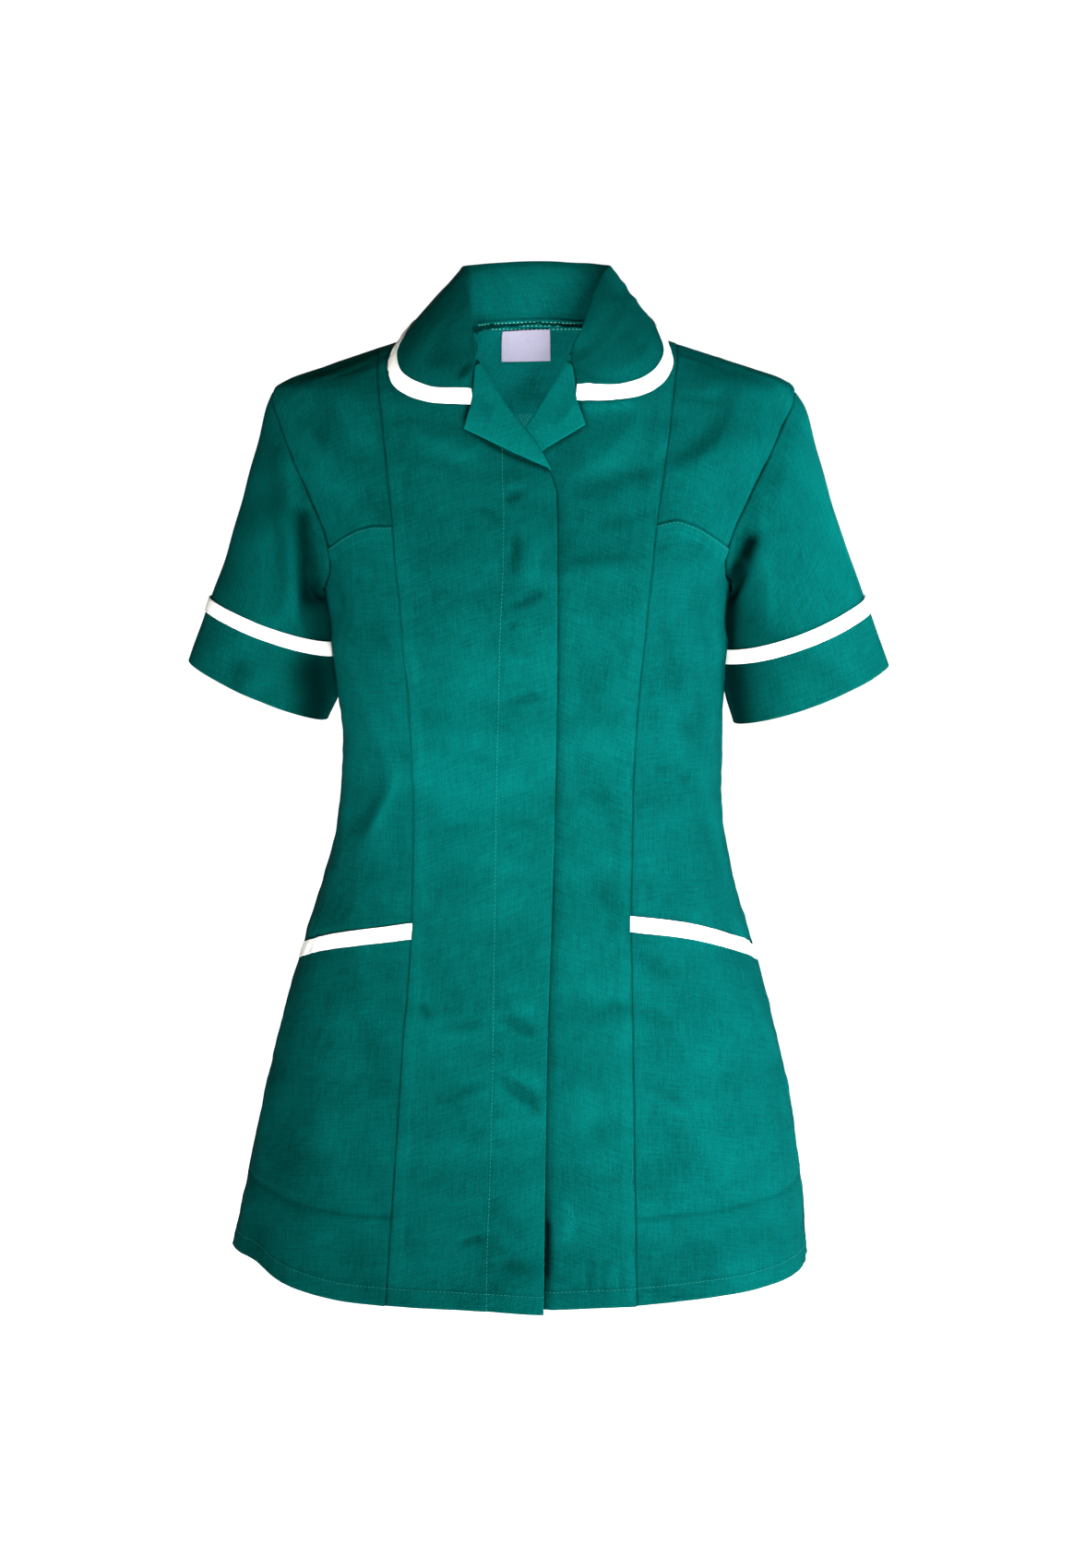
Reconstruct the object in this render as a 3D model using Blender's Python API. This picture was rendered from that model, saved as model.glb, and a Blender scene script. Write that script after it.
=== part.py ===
"""Women's short-sleeved work tunic, filled out and hollow, as if a general figure wore it.

Metres, +Z up.  The front faces -Y and the wearer's left is +X.  The origin is the middle of the neck
base, where the shoulders carry the garment.  Every panel of the body is cut from one torso surface,
given by a table of level sections.  A panel is a wall of cloth between its seams.
"""

import bpy
import numpy as np

# ---------------------------------------------------------------- driving sizes (metres)
WALL = 0.0012                # thickness of a cloth wall
LABEL_WALL = 0.0010          # thickness of the label
SEAM_GAP = 0.0003            # space kept between two pieces
SEAM_SETBACK = 0.00019       # how far each edge draws back from its seam line
LAYER = WALL + SEAM_GAP      # from one layer's middle to the next layer's middle
TAPE_WIDTH = 0.0118          # white trim on collar, pockets and sleeves
ON_TOP = LAYER + 0.0004      # trim lies this far out on the piece it is sewn to
LAPEL_LIFT_RIGHT = 0.0020    # a lapel lies this far out on its front
LAPEL_LIFT_LEFT = 0.0033
UNDERLAP_DEPTH = 0.0055      # how far the left front passes below the right front
UNDERLAP_FULL = 0.008        # beyond the right front's edge the left front is still full depth
UNDERLAP_EASE = 0.026        # and it has come back up after this much more
TURN_STEP = 1e-3             # steps in angle, height and share that give a surface's slopes
HEIGHT_STEP = 2e-4
SHARE_STEP = 5e-4
SHARP_ANGLE = np.radians(50.0)

# Level sections of the body: half width, depth to the front and to the back, sideways shift of the
# middle, and roundness (2 is an ellipse, more is squarer).
TORSO_COLUMNS = ("height", "half_width", "front", "back", "shift", "roundness")
TORSO = np.array((
    (-0.0030, 0.0450, 0.030, 0.062, 0.0000, 2.00),
    (-0.0080, 0.0600, 0.036, 0.066, 0.0000, 2.00),
    (-0.0205, 0.1020, 0.046, 0.073, -0.0010, 2.00),
    (-0.0320, 0.1380, 0.054, 0.080, -0.0010, 2.00),
    (-0.0400, 0.1635, 0.060, 0.084, -0.0005, 2.00),
    (-0.0470, 0.1840, 0.065, 0.088, -0.0005, 2.00),
    (-0.0540, 0.1935, 0.070, 0.091, -0.0015, 2.00),
    (-0.0700, 0.1970, 0.079, 0.097, -0.0030, 2.00),
    (-0.1000, 0.1950, 0.095, 0.105, -0.0043, 2.05),
    (-0.1300, 0.1870, 0.107, 0.111, -0.0050, 2.10),
    (-0.1600, 0.1700, 0.1185, 0.113, -0.0058, 2.15),
    (-0.1850, 0.1560, 0.1260, 0.112, -0.0064, 2.20),
    (-0.2120, 0.1500, 0.1280, 0.110, -0.0066, 2.20),
    (-0.2470, 0.1480, 0.1245, 0.105, -0.0055, 2.20),
    (-0.2890, 0.1442, 0.1160, 0.097, -0.0040, 2.20),
    (-0.3170, 0.1428, 0.110, 0.093, -0.0030, 2.20),
    (-0.3590, 0.1438, 0.106, 0.094, -0.0040, 2.20),
    (-0.4230, 0.1549, 0.109, 0.101, -0.0059, 2.25),
    (-0.4590, 0.1658, 0.112, 0.107, -0.0066, 2.25),
    (-0.5300, 0.1866, 0.116, 0.115, -0.0070, 2.30),
    (-0.6030, 0.2033, 0.119, 0.122, -0.0074, 2.30),
    (-0.6760, 0.2158, 0.121, 0.125, -0.0108, 2.30),
    (-0.7350, 0.2242, 0.122, 0.126, -0.0143, 2.30),
))

# Largest folds: where round the body (degrees from the centre front, wearer's left positive) at the
# top and the bottom, the heights it runs between, its half width in degrees and how far it stands out.
FOLD_COLUMNS = ("turn_top", "turn_bottom", "top", "bottom", "half_width", "depth")
FOLDS = np.array((
    (-60.0, -66.0, -0.520, -0.760, 11.0, -0.0035),
    (-44.0, -47.0, -0.540, -0.760, 8.0, 0.0030),
    (64.0, 60.0, -0.560, -0.760, 9.0, 0.0030),
    (118.0, 124.0, -0.420, -0.760, 11.0, 0.0050),
    (150.0, 154.0, -0.470, -0.760, 11.0, -0.0060),
    (-176.0, -178.0, -0.440, -0.760, 12.0, 0.0050),
    (-142.0, -148.0, -0.480, -0.760, 11.0, -0.0050),
    (-112.0, -116.0, -0.450, -0.760, 10.0, 0.0050),
    (-160.0, -120.0, -0.300, -0.370, 14.0, -0.0040),
    (160.0, 120.0, -0.310, -0.380, 14.0, -0.0040),
))

# Seams of the fronts, as seen from the front: sideways place of each at its height.
PRINCESS_COLUMNS = ("height", "right", "left")
PRINCESS = np.array((
    (-0.026, -0.1167, 0.1040),
    (-0.042, -0.1163, 0.1017),
    (-0.080, -0.1120, 0.0970),
    (-0.150, -0.1042, 0.0868),
    (-0.230, -0.0970, 0.0784),
    (-0.300, -0.0920, 0.0725),
    (-0.360, -0.0903, 0.0703),
    (-0.440, -0.0917, 0.0694),
    (-0.540, -0.0990, 0.0709),
    (-0.640, -0.1058, 0.0725),
    (-0.735, -0.1130, 0.0743),
))

# Neck, roll line and front edge of each front.  The left front's edge lies below the right front.
EDGE_COLUMNS = ("height", "right", "left")
FRONT_EDGE = np.array((
    (-0.0080, -0.0600, 0.0600),
    (-0.0180, -0.0505, 0.0365),
    (-0.0300, -0.0435, 0.0245),
    (-0.0420, -0.0360, 0.0180),
    (-0.0560, -0.0286, 0.0090),
    (-0.0680, -0.0200, 0.0015),
    (-0.0810, -0.0090, -0.0072),
    (-0.0965, 0.0023, -0.0160),
    (-0.1100, 0.0093, -0.0220),
    (-0.1280, 0.0142, -0.0245),
    (-0.1600, 0.0149, -0.0250),
    (-0.2400, 0.0150, -0.0265),
    (-0.3700, 0.0131, -0.0290),
    (-0.5400, 0.0078, -0.0310),
    (-0.7350, 0.0051, -0.0360),
))

# Curved seams: the bust seam, the pocket's mouth and the foot of its bag.  Their height at each share
# of the way from the princess seam to the side.
CROSS_COLUMNS = ("share", "bust_right", "bust_left", "mouth_right", "mouth_left", "bag")
CROSS_SEAMS = np.array((
    (0.00, -0.1495, -0.1481, -0.4413, -0.4354, -0.6470),
    (0.25, -0.1498, -0.1455, -0.4485, -0.4425, -0.6465),
    (0.50, -0.1525, -0.1495, -0.4560, -0.4530, -0.6450),
    (0.75, -0.1590, -0.1575, -0.4655, -0.4645, -0.6430),
    (1.00, -0.1678, -0.1678, -0.4745, -0.4765, -0.6400),
))

# Height of the hem round the body, by degrees from the centre front.
HEM_COLUMNS = ("turn", "height")
HEM = np.array((
    (-180.0, -0.7220),
    (-135.0, -0.7200),
    (-90.0, -0.7085),
    (-72.0, -0.7080),
    (-50.0, -0.7182),
    (-30.0, -0.7266),
    (0.0, -0.7280),
    (20.0, -0.7264),
    (46.0, -0.7238),
    (70.0, -0.7195),
    (90.0, -0.7192),
    (135.0, -0.7210),
    (180.0, -0.7220),
))
OVERLAP_DROP = 0.0022        # the right front hangs this much lower at its edge

# Neck seam across the back: height at each distance from the middle, out to the shoulder seams.
BACK_NECK_COLUMNS = ("across", "height")
BACK_NECK = np.array((
    (0.0, -0.0030),
    (0.030, -0.0042),
    (0.048, -0.0066),
    (0.060, -0.0080),
))
NECK_HALF_WIDTH = BACK_NECK[-1, 0]

# Armhole: its highest and lowest point, its reach to the front and back of the shoulder, and how far
# its widest place lies below its middle.
ARMHOLE_TOP = -0.0560
ARMHOLE_FOOT = -0.2050
ARMHOLE_FRONT = 0.0625
ARMHOLE_BACK = 0.0590
ARMHOLE_SCOOP = 0.48
ARMHOLE_WIDEST = 1.1         # keeps its reach to the front and back true to the two sizes above
AROUND_SLEEVE = 24           # facets round an armhole and a sleeve
BUST_SEAM_FACET = 8          # the bust seam meets the armhole after this many of them

# Rings of each sleeve: its outer line and its underarm line, its depth to the front and the back, the
# armhole's scoop that is left, and how low the ring sags in front.
SLEEVE_COLUMNS = ("outer_x", "outer_z", "inner_x", "inner_z", "front", "back", "scoop", "sag")
SLEEVE_RIGHT = np.array((
    (-0.2018, -0.0680, -0.1592, -0.2090, 0.0640, 0.0620, 0.42, 0.000),
    (-0.2090, -0.0970, -0.1587, -0.2150, 0.0640, 0.0620, 0.30, 0.000),
    (-0.2180, -0.1290, -0.1580, -0.2220, 0.0625, 0.0610, 0.18, 0.001),
    (-0.2300, -0.1700, -0.1573, -0.2330, 0.0600, 0.0590, 0.08, 0.002),
    (-0.2441, -0.2092, -0.1574, -0.2450, 0.0570, 0.0560, 0.00, 0.003),
    (-0.2478, -0.2190, -0.1566, -0.2560, 0.0560, 0.0550, 0.00, 0.003),
    (-0.2615, -0.2577, -0.1588, -0.3012, 0.0510, 0.0510, 0.00, 0.004),
))
SLEEVE_LEFT = np.array((
    (0.2008, -0.0680, 0.1456, -0.2090, 0.0640, 0.0620, 0.42, 0.000),
    (0.2085, -0.0970, 0.1454, -0.2150, 0.0640, 0.0620, 0.30, 0.000),
    (0.2178, -0.1290, 0.1452, -0.2220, 0.0625, 0.0610, 0.18, 0.001),
    (0.2314, -0.1700, 0.1452, -0.2330, 0.0600, 0.0590, 0.08, 0.002),
    (0.2462, -0.2092, 0.1463, -0.2450, 0.0570, 0.0560, 0.00, 0.003),
    (0.2505, -0.2202, 0.1463, -0.2560, 0.0560, 0.0550, 0.00, 0.003),
    (0.2650, -0.2612, 0.1498, -0.3040, 0.0510, 0.0510, 0.00, 0.004),
))
SLEEVE_SCOOP_WIDTH = 0.2     # a scooped ring is narrowed by this share of its scoop, to keep its depth
SLEEVE_LEAVE_TOP = 0.0012    # the sleeve's first ring stands this far off the armhole's top
SLEEVE_LEAVE_FOOT = 0.0017   # and this far off its foot, where it hangs beside the body
TAPE_RING = 4                # the sleeve's trim runs from this ring to the next
CUFF_RING = 5
HEM_RING = 6

# Collar, from the right front's end round the back to the left front's end: the neck seam, the fold
# line at the top of the stand, the outer edge of the fall, and the fold's radius and the fall's crown.
COLLAR_COLUMNS = ("seam_x", "seam_y", "seam_z", "roll_x", "roll_y", "roll_z",
                  "edge_x", "edge_y", "edge_z", "fold", "crown")
COLLAR = np.array((
    (-0.0422, -0.0474, -0.0290, -0.0442, -0.0552, -0.0305, -0.0458, -0.0782, -0.0633, 0.0008, 0.0055),
    (-0.0470, -0.0415, -0.0225, -0.0450, -0.0480, -0.0227, -0.0740, -0.0743, -0.0621, 0.0015, 0.0060),
    (-0.0525, -0.0320, -0.0150, -0.0475, -0.0330, -0.0093, -0.0953, -0.0676, -0.0563, 0.0022, 0.0080),
    (-0.0568, -0.0195, -0.0105, -0.0492, -0.0160, 0.0077, -0.1063, -0.0585, -0.0465, 0.0030, 0.0070),
    (-0.0588, -0.0040, -0.0078, -0.0520, 0.0020, 0.0222, -0.1084, -0.0460, -0.0350, 0.0030, 0.0040),
    (-0.0575, 0.0120, -0.0072, -0.0541, 0.0200, 0.0334, -0.1025, -0.0240, -0.0205, 0.0030, 0.0010),
    (-0.0515, 0.0260, -0.0063, -0.0550, 0.0360, 0.0362, -0.0945, 0.0180, -0.0110, 0.0030, 0.0000),
    (-0.0320, 0.0480, -0.0040, -0.0320, 0.0570, 0.0388, -0.0710, 0.0650, -0.0160, 0.0030, 0.0030),
    (0.0000, 0.0608, -0.0022, 0.0000, 0.0640, 0.0402, 0.0000, 0.0830, -0.0205, 0.0030, 0.0040),
    (0.0320, 0.0480, -0.0040, 0.0320, 0.0570, 0.0388, 0.0670, 0.0650, -0.0160, 0.0030, 0.0030),
    (0.0515, 0.0260, -0.0063, 0.0548, 0.0360, 0.0369, 0.0890, 0.0180, -0.0100, 0.0030, 0.0000),
    (0.0575, 0.0120, -0.0072, 0.0475, 0.0200, 0.0278, 0.0965, -0.0240, -0.0200, 0.0030, 0.0010),
    (0.0588, -0.0040, -0.0078, 0.0438, 0.0020, 0.0187, 0.0997, -0.0450, -0.0332, 0.0030, 0.0040),
    (0.0530, -0.0205, -0.0100, 0.0394, -0.0160, 0.0057, 0.0950, -0.0585, -0.0450, 0.0030, 0.0070),
    (0.0435, -0.0330, -0.0138, 0.0344, -0.0330, -0.0079, 0.0800, -0.0688, -0.0555, 0.0022, 0.0080),
    (0.0325, -0.0405, -0.0194, 0.0275, -0.0480, -0.0222, 0.0600, -0.0748, -0.0596, 0.0015, 0.0060),
    (0.0238, -0.0486, -0.0284, 0.0264, -0.0557, -0.0305, 0.0284, -0.0794, -0.0605, 0.0008, 0.0060),
))
COLLAR_KNOTS = (0.00, 0.34, 0.40, 0.46, 0.73, 1.00)
COLLAR_STATIONS = 24         # facets along the collar
COLLAR_ACROSS = (0.008, 0.17, 0.34, 0.40, 0.46, 0.60, 0.76)
NECK_AXIS_BACK = 0.01        # the fall rounds out away from a line this far behind the origin
NECK_AXIS_RISE = 0.03        # and upward by this much for each reach of the fold line

# Lapels: outer line from top to point, and the heights where the fold line starts and ends.
LAPEL_COLUMNS = ("top_x", "top_z", "point_x", "point_z", "fold_top", "fold_foot")
LAPEL_RIGHT = (-0.0490, -0.0400, -0.0511, -0.0798, -0.0350, -0.1085)
LAPEL_LEFT = (0.0320, -0.0410, 0.0344, -0.0771, -0.0350, -0.0990)
LAPEL_HIDDEN = 0.0050        # the left lapel ends this far behind the right front's edge
LAPEL_ROWS = 9
LAPEL_COLUMNS_RIGHT = 6
LAPEL_COLUMNS_LEFT = 8

# Inside the back neck: binding over the seam, and the bare label below it.
BINDING_COLUMNS = 2          # columns of the back that it covers, each way from the middle
BINDING_START = 0.16         # it runs from this share of the back's first row to this one
BINDING_END = 0.80
BINDING_DEPTH = 0.0024       # it lies this far inside the back's middle
LABEL_LEFT = -0.0275
LABEL_RIGHT = 0.0110
LABEL_TOP = -0.0110
LABEL_FOOT = -0.0352
LABEL_ROWS = 4
LABEL_COLUMNS = 6
LABEL_SKEW = 0.0006          # its first columns, out to this place, hang this much lower
LABEL_SKEW_FROM = -0.01
LABEL_DEPTH = -0.0030        # the label hangs this far inside the back's middle

# Rows down each seam, counted between its named places.
ROWS_SHOULDER_TO_BUST = BUST_SEAM_FACET
ROWS_BUST_TO_ARMPIT = AROUND_SLEEVE // 2 - BUST_SEAM_FACET
ROWS_ARMPIT_TO_MOUTH = 8
ROWS_MOUTH_TO_BAG = 6
ROWS_BAG_TO_HEM = 3
FRONT_SHARES_RIGHT = (0.0, 0.2, 0.4, 0.6, 0.8, 1.0)
FRONT_SHARES_LEFT = (0.0, 0.25, 0.45, 0.58, 0.70, 0.80, 0.90, 1.0)
COLUMNS_SIDE = 5
BACK_COLUMNS = (1.0, 0.86, 0.72, 0.58, 0.44, 0.31, 0.24, 0.12, 0.0)
PRINCESS_ARMPIT = -0.200     # height on the princess seam level with the armpit

# Colours (linear) and surfaces.
GREEN = (0.002, 0.195, 0.180, 1.0)
WHITE = (0.88, 0.88, 0.90, 1.0)
LILAC_WHITE = (0.66, 0.63, 0.72, 1.0)
CLOTH_ROUGHNESS = 0.75
SATIN_ROUGHNESS = 0.45


# ---------------------------------------------------------------- curves and surfaces
def clear_scene():
    """Remove every object that is in the scene."""
    for item in list(bpy.data.objects):
        bpy.data.objects.remove(item, do_unlink=True)


def curve(rows, at):
    """Smooth curve through the rows: the first column is the place, the others are the values."""
    rows = np.asarray(rows, float)
    if rows[0, 0] > rows[-1, 0]:
        rows = rows[::-1]
    knots = rows[:, 0]
    values = rows[:, 1:]
    width = np.diff(knots)[:, None]
    rise = np.diff(values, axis=0) / width
    slope = np.zeros_like(values)
    both = rise[:-1] * rise[1:]
    total = np.where(rise[:-1] + rise[1:] == 0.0, 1.0, rise[:-1] + rise[1:])
    slope[1:-1] = np.where(both > 0.0, 2.0 * both / total, 0.0)
    slope[0] = rise[0]
    slope[-1] = rise[-1]
    at = np.clip(np.asarray(at, float), knots[0], knots[-1])
    span = np.clip(np.searchsorted(knots, at, side="right") - 1, 0, len(knots) - 2)
    part = ((at - knots[span]) / width[span, 0])[..., None]
    start = (1 + 2 * part) * (1 - part) ** 2 * values[span]
    leave = part * (1 - part) ** 2 * width[span] * slope[span]
    end = part ** 2 * (3 - 2 * part) * values[span + 1]
    arrive = part ** 2 * (part - 1) * width[span] * slope[span + 1]
    return start + leave + end + arrive


def smooth_step(value, low, high):
    """0 below low, 1 above high, and an even S between them."""
    part = np.clip((value - low) / (high - low), 0.0, 1.0)
    return part * part * (3.0 - 2.0 * part)


def side_column(side):
    """Column of the wearer's right (-1) or left (1) side in the seam tables."""
    return 0 if side < 0 else 1


def section(height):
    """Half width, front and back depth, shift and roundness of the body at a height."""
    values = curve(TORSO, height)
    return tuple(values[..., column] for column in range(5))


def fold_depth(turn, height):
    """How far the folds push the cloth out at an angle round the body."""
    degrees = np.degrees(turn)
    depth = np.zeros(np.broadcast(degrees, height).shape)
    for turn_top, turn_bottom, top, bottom, half_width, most in FOLDS:
        down = np.clip((top - height) / (top - bottom), 0.0, 1.0)
        middle = turn_top + (turn_bottom - turn_top) * down
        aside = (degrees - middle + 180.0) % 360.0 - 180.0
        fade_in = smooth_step(top - height, 0.0, 0.45 * (top - bottom))
        reaches_hem = bottom < TORSO[-1, 0]
        fade_out = 1.0 if reaches_hem else smooth_step(height - bottom, 0.0, 0.45 * (top - bottom))
        depth = depth + most * np.exp(-(aside / half_width) ** 2) * fade_in * fade_out
    return depth


def body_plain(turn, height):
    """Point of the torso's surface, without folds."""
    turn, height = np.broadcast_arrays(np.asarray(turn, float), np.asarray(height, float))
    half_width, front, back, shift, roundness = section(height)
    sine = np.sin(turn)
    cosine = np.cos(turn)
    power = 2.0 / roundness
    across = shift + half_width * np.sign(sine) * np.abs(sine) ** power
    depth = np.where(cosine > 0.0, front, back)
    return np.stack((across, -depth * np.sign(cosine) * np.abs(cosine) ** power, height), axis=-1)


def normals(surface, first, second, step_first, step_second):
    """Unit normals of a surface of two parameters, from its slopes."""
    along = surface(first + step_first, second) - surface(first - step_first, second)
    down = surface(first, second + step_second) - surface(first, second - step_second)
    normal = np.cross(along, down)
    return normal / np.linalg.norm(normal, axis=-1, keepdims=True)


def body_normal(turn, height):
    """Unit normal out of the torso's surface."""
    return normals(body_plain, turn, height, TURN_STEP, HEIGHT_STEP)


def body(turn, height, lift=0.0):
    """Point of the cloth on the torso, with its folds, moved out by lift."""
    turn, height = np.broadcast_arrays(np.asarray(turn, float), np.asarray(height, float))
    stand_off = fold_depth(turn, height) + lift
    return body_plain(turn, height) + body_normal(turn, height) * stand_off[..., None]


def turn_at(across, height, at_back=False):
    """Angle round the body of a place seen from the front (or, at the back, through it)."""
    half_width, _, _, shift, roundness = section(height)
    share = np.clip((across - shift) / half_width, -1.0, 1.0)
    turn = np.arcsin(np.sign(share) * np.abs(share) ** (roundness / 2.0))
    if at_back:
        return np.where(turn >= 0.0, np.pi - turn, -np.pi - turn)
    return turn


def shoulder_height(across):
    """Height of the shoulder line at a sideways place."""
    heights = np.linspace(ARMHOLE_TOP, TORSO[0, 0], 200)
    half_width, _, _, shift, _ = section(heights)
    reach = half_width + np.sign(np.mean(across)) * shift
    order = np.argsort(reach)
    return np.interp(np.abs(across), reach[order], heights[order])


def hem_height(turn):
    """Height of the hem at an angle round the body."""
    degrees = (np.degrees(turn) + 180.0) % 360.0 - 180.0
    return curve(HEM, degrees)[..., 0]


def armhole(side, angle):
    """Angle round the body and height of the armhole; 0 is its top, a half turn its foot."""
    middle = 0.5 * (ARMHOLE_TOP + ARMHOLE_FOOT)
    height = middle + 0.5 * (ARMHOLE_TOP - ARMHOLE_FOOT) * np.cos(angle)
    reach = np.abs(np.sin(angle)) * (1.0 - ARMHOLE_SCOOP * np.cos(angle)) / ARMHOLE_WIDEST
    in_front = np.sin(angle) >= 0.0
    forward = np.where(in_front, ARMHOLE_FRONT, ARMHOLE_BACK) * reach
    _, front, back, _, roundness = section(height)
    depth = np.where(in_front, front, back)
    cosine = np.clip(forward / depth, 0.0, 1.0) ** (roundness / 2.0)
    turn = np.where(in_front, np.arccos(cosine), np.pi - np.arccos(cosine))
    return side * turn, height


# ---------------------------------------------------------------- solids from grids
def material(name, color, roughness=CLOTH_ROUGHNESS):
    """A plain finish."""
    made = bpy.data.materials.new(name)
    made.use_nodes = True
    shader = made.node_tree.nodes["Principled BSDF"]
    shader.inputs["Base Color"].default_value = color
    shader.inputs["Roughness"].default_value = roughness
    shader.inputs["Metallic"].default_value = 0.0
    return made


def toward(start, end, distance):
    """The points of start, moved toward end by a distance."""
    away = end - start
    length = np.linalg.norm(away, axis=-1, keepdims=True)
    return start + away / np.maximum(length, 1e-9) * distance


def draw_back(grid, closed, setback=SEAM_SETBACK):
    """Move a grid's open edges inward, so that it stays clear of the pieces it is sewn to."""
    moved = grid.copy()
    moved[0] = toward(grid[0], grid[1], setback)
    moved[-1] = toward(grid[-1], grid[-2], setback)
    if not closed:
        sides = moved.copy()
        moved[:, 0] = toward(sides[:, 0], sides[:, 1], setback)
        moved[:, -1] = toward(sides[:, -1], sides[:, -2], setback)
    return moved


def wall(name, grid, outward, finish, thickness=WALL, closed=False):
    """A closed cloth wall round a grid of points: rows run down, columns run across."""
    grid = draw_back(grid, closed)
    rows, columns = grid.shape[:2]
    faces_out = grid + outward * thickness / 2
    faces_in = grid - outward * thickness / 2
    points = np.concatenate((faces_out.reshape(-1, 3), faces_in.reshape(-1, 3)))
    inner = rows * columns
    last = columns if closed else columns - 1
    faces = []
    for row in range(rows - 1):
        for column in range(last):
            here, beside = row * columns + column, row * columns + (column + 1) % columns
            below, across = here + columns, beside + columns
            for corners in ((here, beside, across), (here, across, below)):
                faces.append(corners)
                faces.append(tuple(inner + index for index in reversed(corners)))
    foot = (rows - 1) * columns
    for column in range(last):
        beside = (column + 1) % columns
        faces += halves(beside, column, inner + column, inner + beside)
        faces += halves(foot + column, foot + beside, inner + foot + beside, inner + foot + column)
    if not closed:
        end = columns - 1
        for row in range(rows - 1):
            here = row * columns
            below = here + columns
            faces += halves(here, below, inner + below, inner + here)
            faces += halves(below + end, here + end, inner + here + end, inner + below + end)
    mesh = bpy.data.meshes.new(name)
    step = turned_way(points, faces)
    mesh.from_pydata(points.tolist(), [], [face[::step] for face in faces])
    mesh.shade_smooth()
    mesh.set_sharp_from_angle(angle=SHARP_ANGLE)
    mesh.materials.append(finish)
    made = bpy.data.objects.new(name, mesh)
    bpy.context.scene.collection.objects.link(made)
    return made


def halves(first, second, third, fourth):
    """The two triangles of a four-sided face."""
    return [(first, second, third), (first, third, fourth)]


def turned_way(points, faces):
    """1 where the faces already look out of the closed shape, -1 where they have to be reversed."""
    first, second, third = (points[np.array(faces)[:, corner]] for corner in range(3))
    volume = np.einsum("ij,ij->i", first, np.cross(second, third)).sum()
    return 1 if volume > 0.0 else -1


def body_wall(name, turn, height, lift, finish, thickness=WALL):
    """A wall on the torso's surface, from its angles, heights and how far it stands out."""
    turn, height, lift = np.broadcast_arrays(turn, height, lift)
    return wall(name, body(turn, height, lift), body_normal(turn, height), finish, thickness)


# ---------------------------------------------------------------- rows down the seams
def quick_start(count):
    """Shares from 0 to 1 that start closely spaced, as the facets of the armhole's top do."""
    angles = np.arange(count + 1) * 2 * np.pi / AROUND_SLEEVE
    return (1 - np.cos(angles)) / (1 - np.cos(angles[-1]))


def stretch(start, end, count):
    """Evenly spaced places after start, up to end."""
    return np.linspace(start, end, count + 1)[1:]


def princess_heights(side):
    """Heights of the rows on a princess seam, from the shoulder to the hem."""
    column = side_column(side)
    bust, mouth = CROSS_SEAMS[0, 1 + column], CROSS_SEAMS[0, 3 + column]
    bag = CROSS_SEAMS[0, 5]
    top = shoulder_height(PRINCESS[0, 1 + column])
    foot = hem_height(turn_at(PRINCESS[-1, 1 + column], np.array(TORSO[-1, 0])))
    return np.concatenate((
        top + (bust - top) * quick_start(ROWS_SHOULDER_TO_BUST),
        stretch(bust, PRINCESS_ARMPIT, ROWS_BUST_TO_ARMPIT),
        stretch(PRINCESS_ARMPIT, mouth, ROWS_ARMPIT_TO_MOUTH),
        stretch(mouth, bag, ROWS_MOUTH_TO_BAG),
        stretch(bag, foot, ROWS_BAG_TO_HEM),
    ))


def side_heights(side):
    """Heights of the rows on a side seam, from the armpit to the hem."""
    column = side_column(side)
    mouth = CROSS_SEAMS[-1, 3 + column]
    bag = CROSS_SEAMS[-1, 5]
    foot = hem_height(side * np.pi / 2)
    return np.concatenate((
        (ARMHOLE_FOOT,),
        stretch(ARMHOLE_FOOT, mouth, ROWS_ARMPIT_TO_MOUTH),
        stretch(mouth, bag, ROWS_MOUTH_TO_BAG),
        stretch(bag, foot, ROWS_BAG_TO_HEM),
    ))


def princess_turn(side, height):
    """Angle round the body of a princess seam."""
    column = side_column(side)
    return turn_at(curve(PRINCESS, height)[..., column], height)


def underlap(across, height):
    """How far below its own surface the left front passes under the right front's edge."""
    beyond = across - curve(FRONT_EDGE, height)[..., 0]
    return -UNDERLAP_DEPTH * (1.0 - smooth_step(beyond, UNDERLAP_FULL, UNDERLAP_FULL + UNDERLAP_EASE))


# ---------------------------------------------------------------- pieces of the body
def make_front(name, side, finish):
    """Centre front, from the princess seam to the front edge, and from shoulder and neck to hem."""
    column = side_column(side)
    seam = princess_heights(side)
    neck = FRONT_EDGE[0, 0]
    drop = OVERLAP_DROP if side < 0 else 0.0
    foot = hem_height(0.0) - drop
    bust = ROWS_SHOULDER_TO_BUST
    below_bust = (seam[bust:] - seam[bust]) / (seam[-1] - seam[bust])
    edge = np.concatenate((
        np.linspace(neck, seam[bust], bust + 1)[:-1],
        seam[bust:] + below_bust * (foot - seam[-1]),
    ))
    share = np.array(FRONT_SHARES_RIGHT if side < 0 else FRONT_SHARES_LEFT)[None, :]
    height = seam[:, None] + (edge - seam)[:, None] * share
    top_across = PRINCESS[0, 1 + column] * (1 - share) + FRONT_EDGE[0, 1 + column] * share
    bow = shoulder_height(top_across) - height[:1]
    fade = (1.0 - quick_start(bust))[:, None] ** 2
    height[:bust + 1] += bow * fade
    seam_across = curve(PRINCESS, height)[..., column]
    edge_across = curve(FRONT_EDGE, height)[..., column]
    across = seam_across * (1 - share) + edge_across * share
    turn = turn_at(across, height)
    turn[0] = side * np.pi / 2
    lift = underlap(across, height) if side > 0 else 0.0
    return body_wall(name, turn, height, lift, finish)


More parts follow.
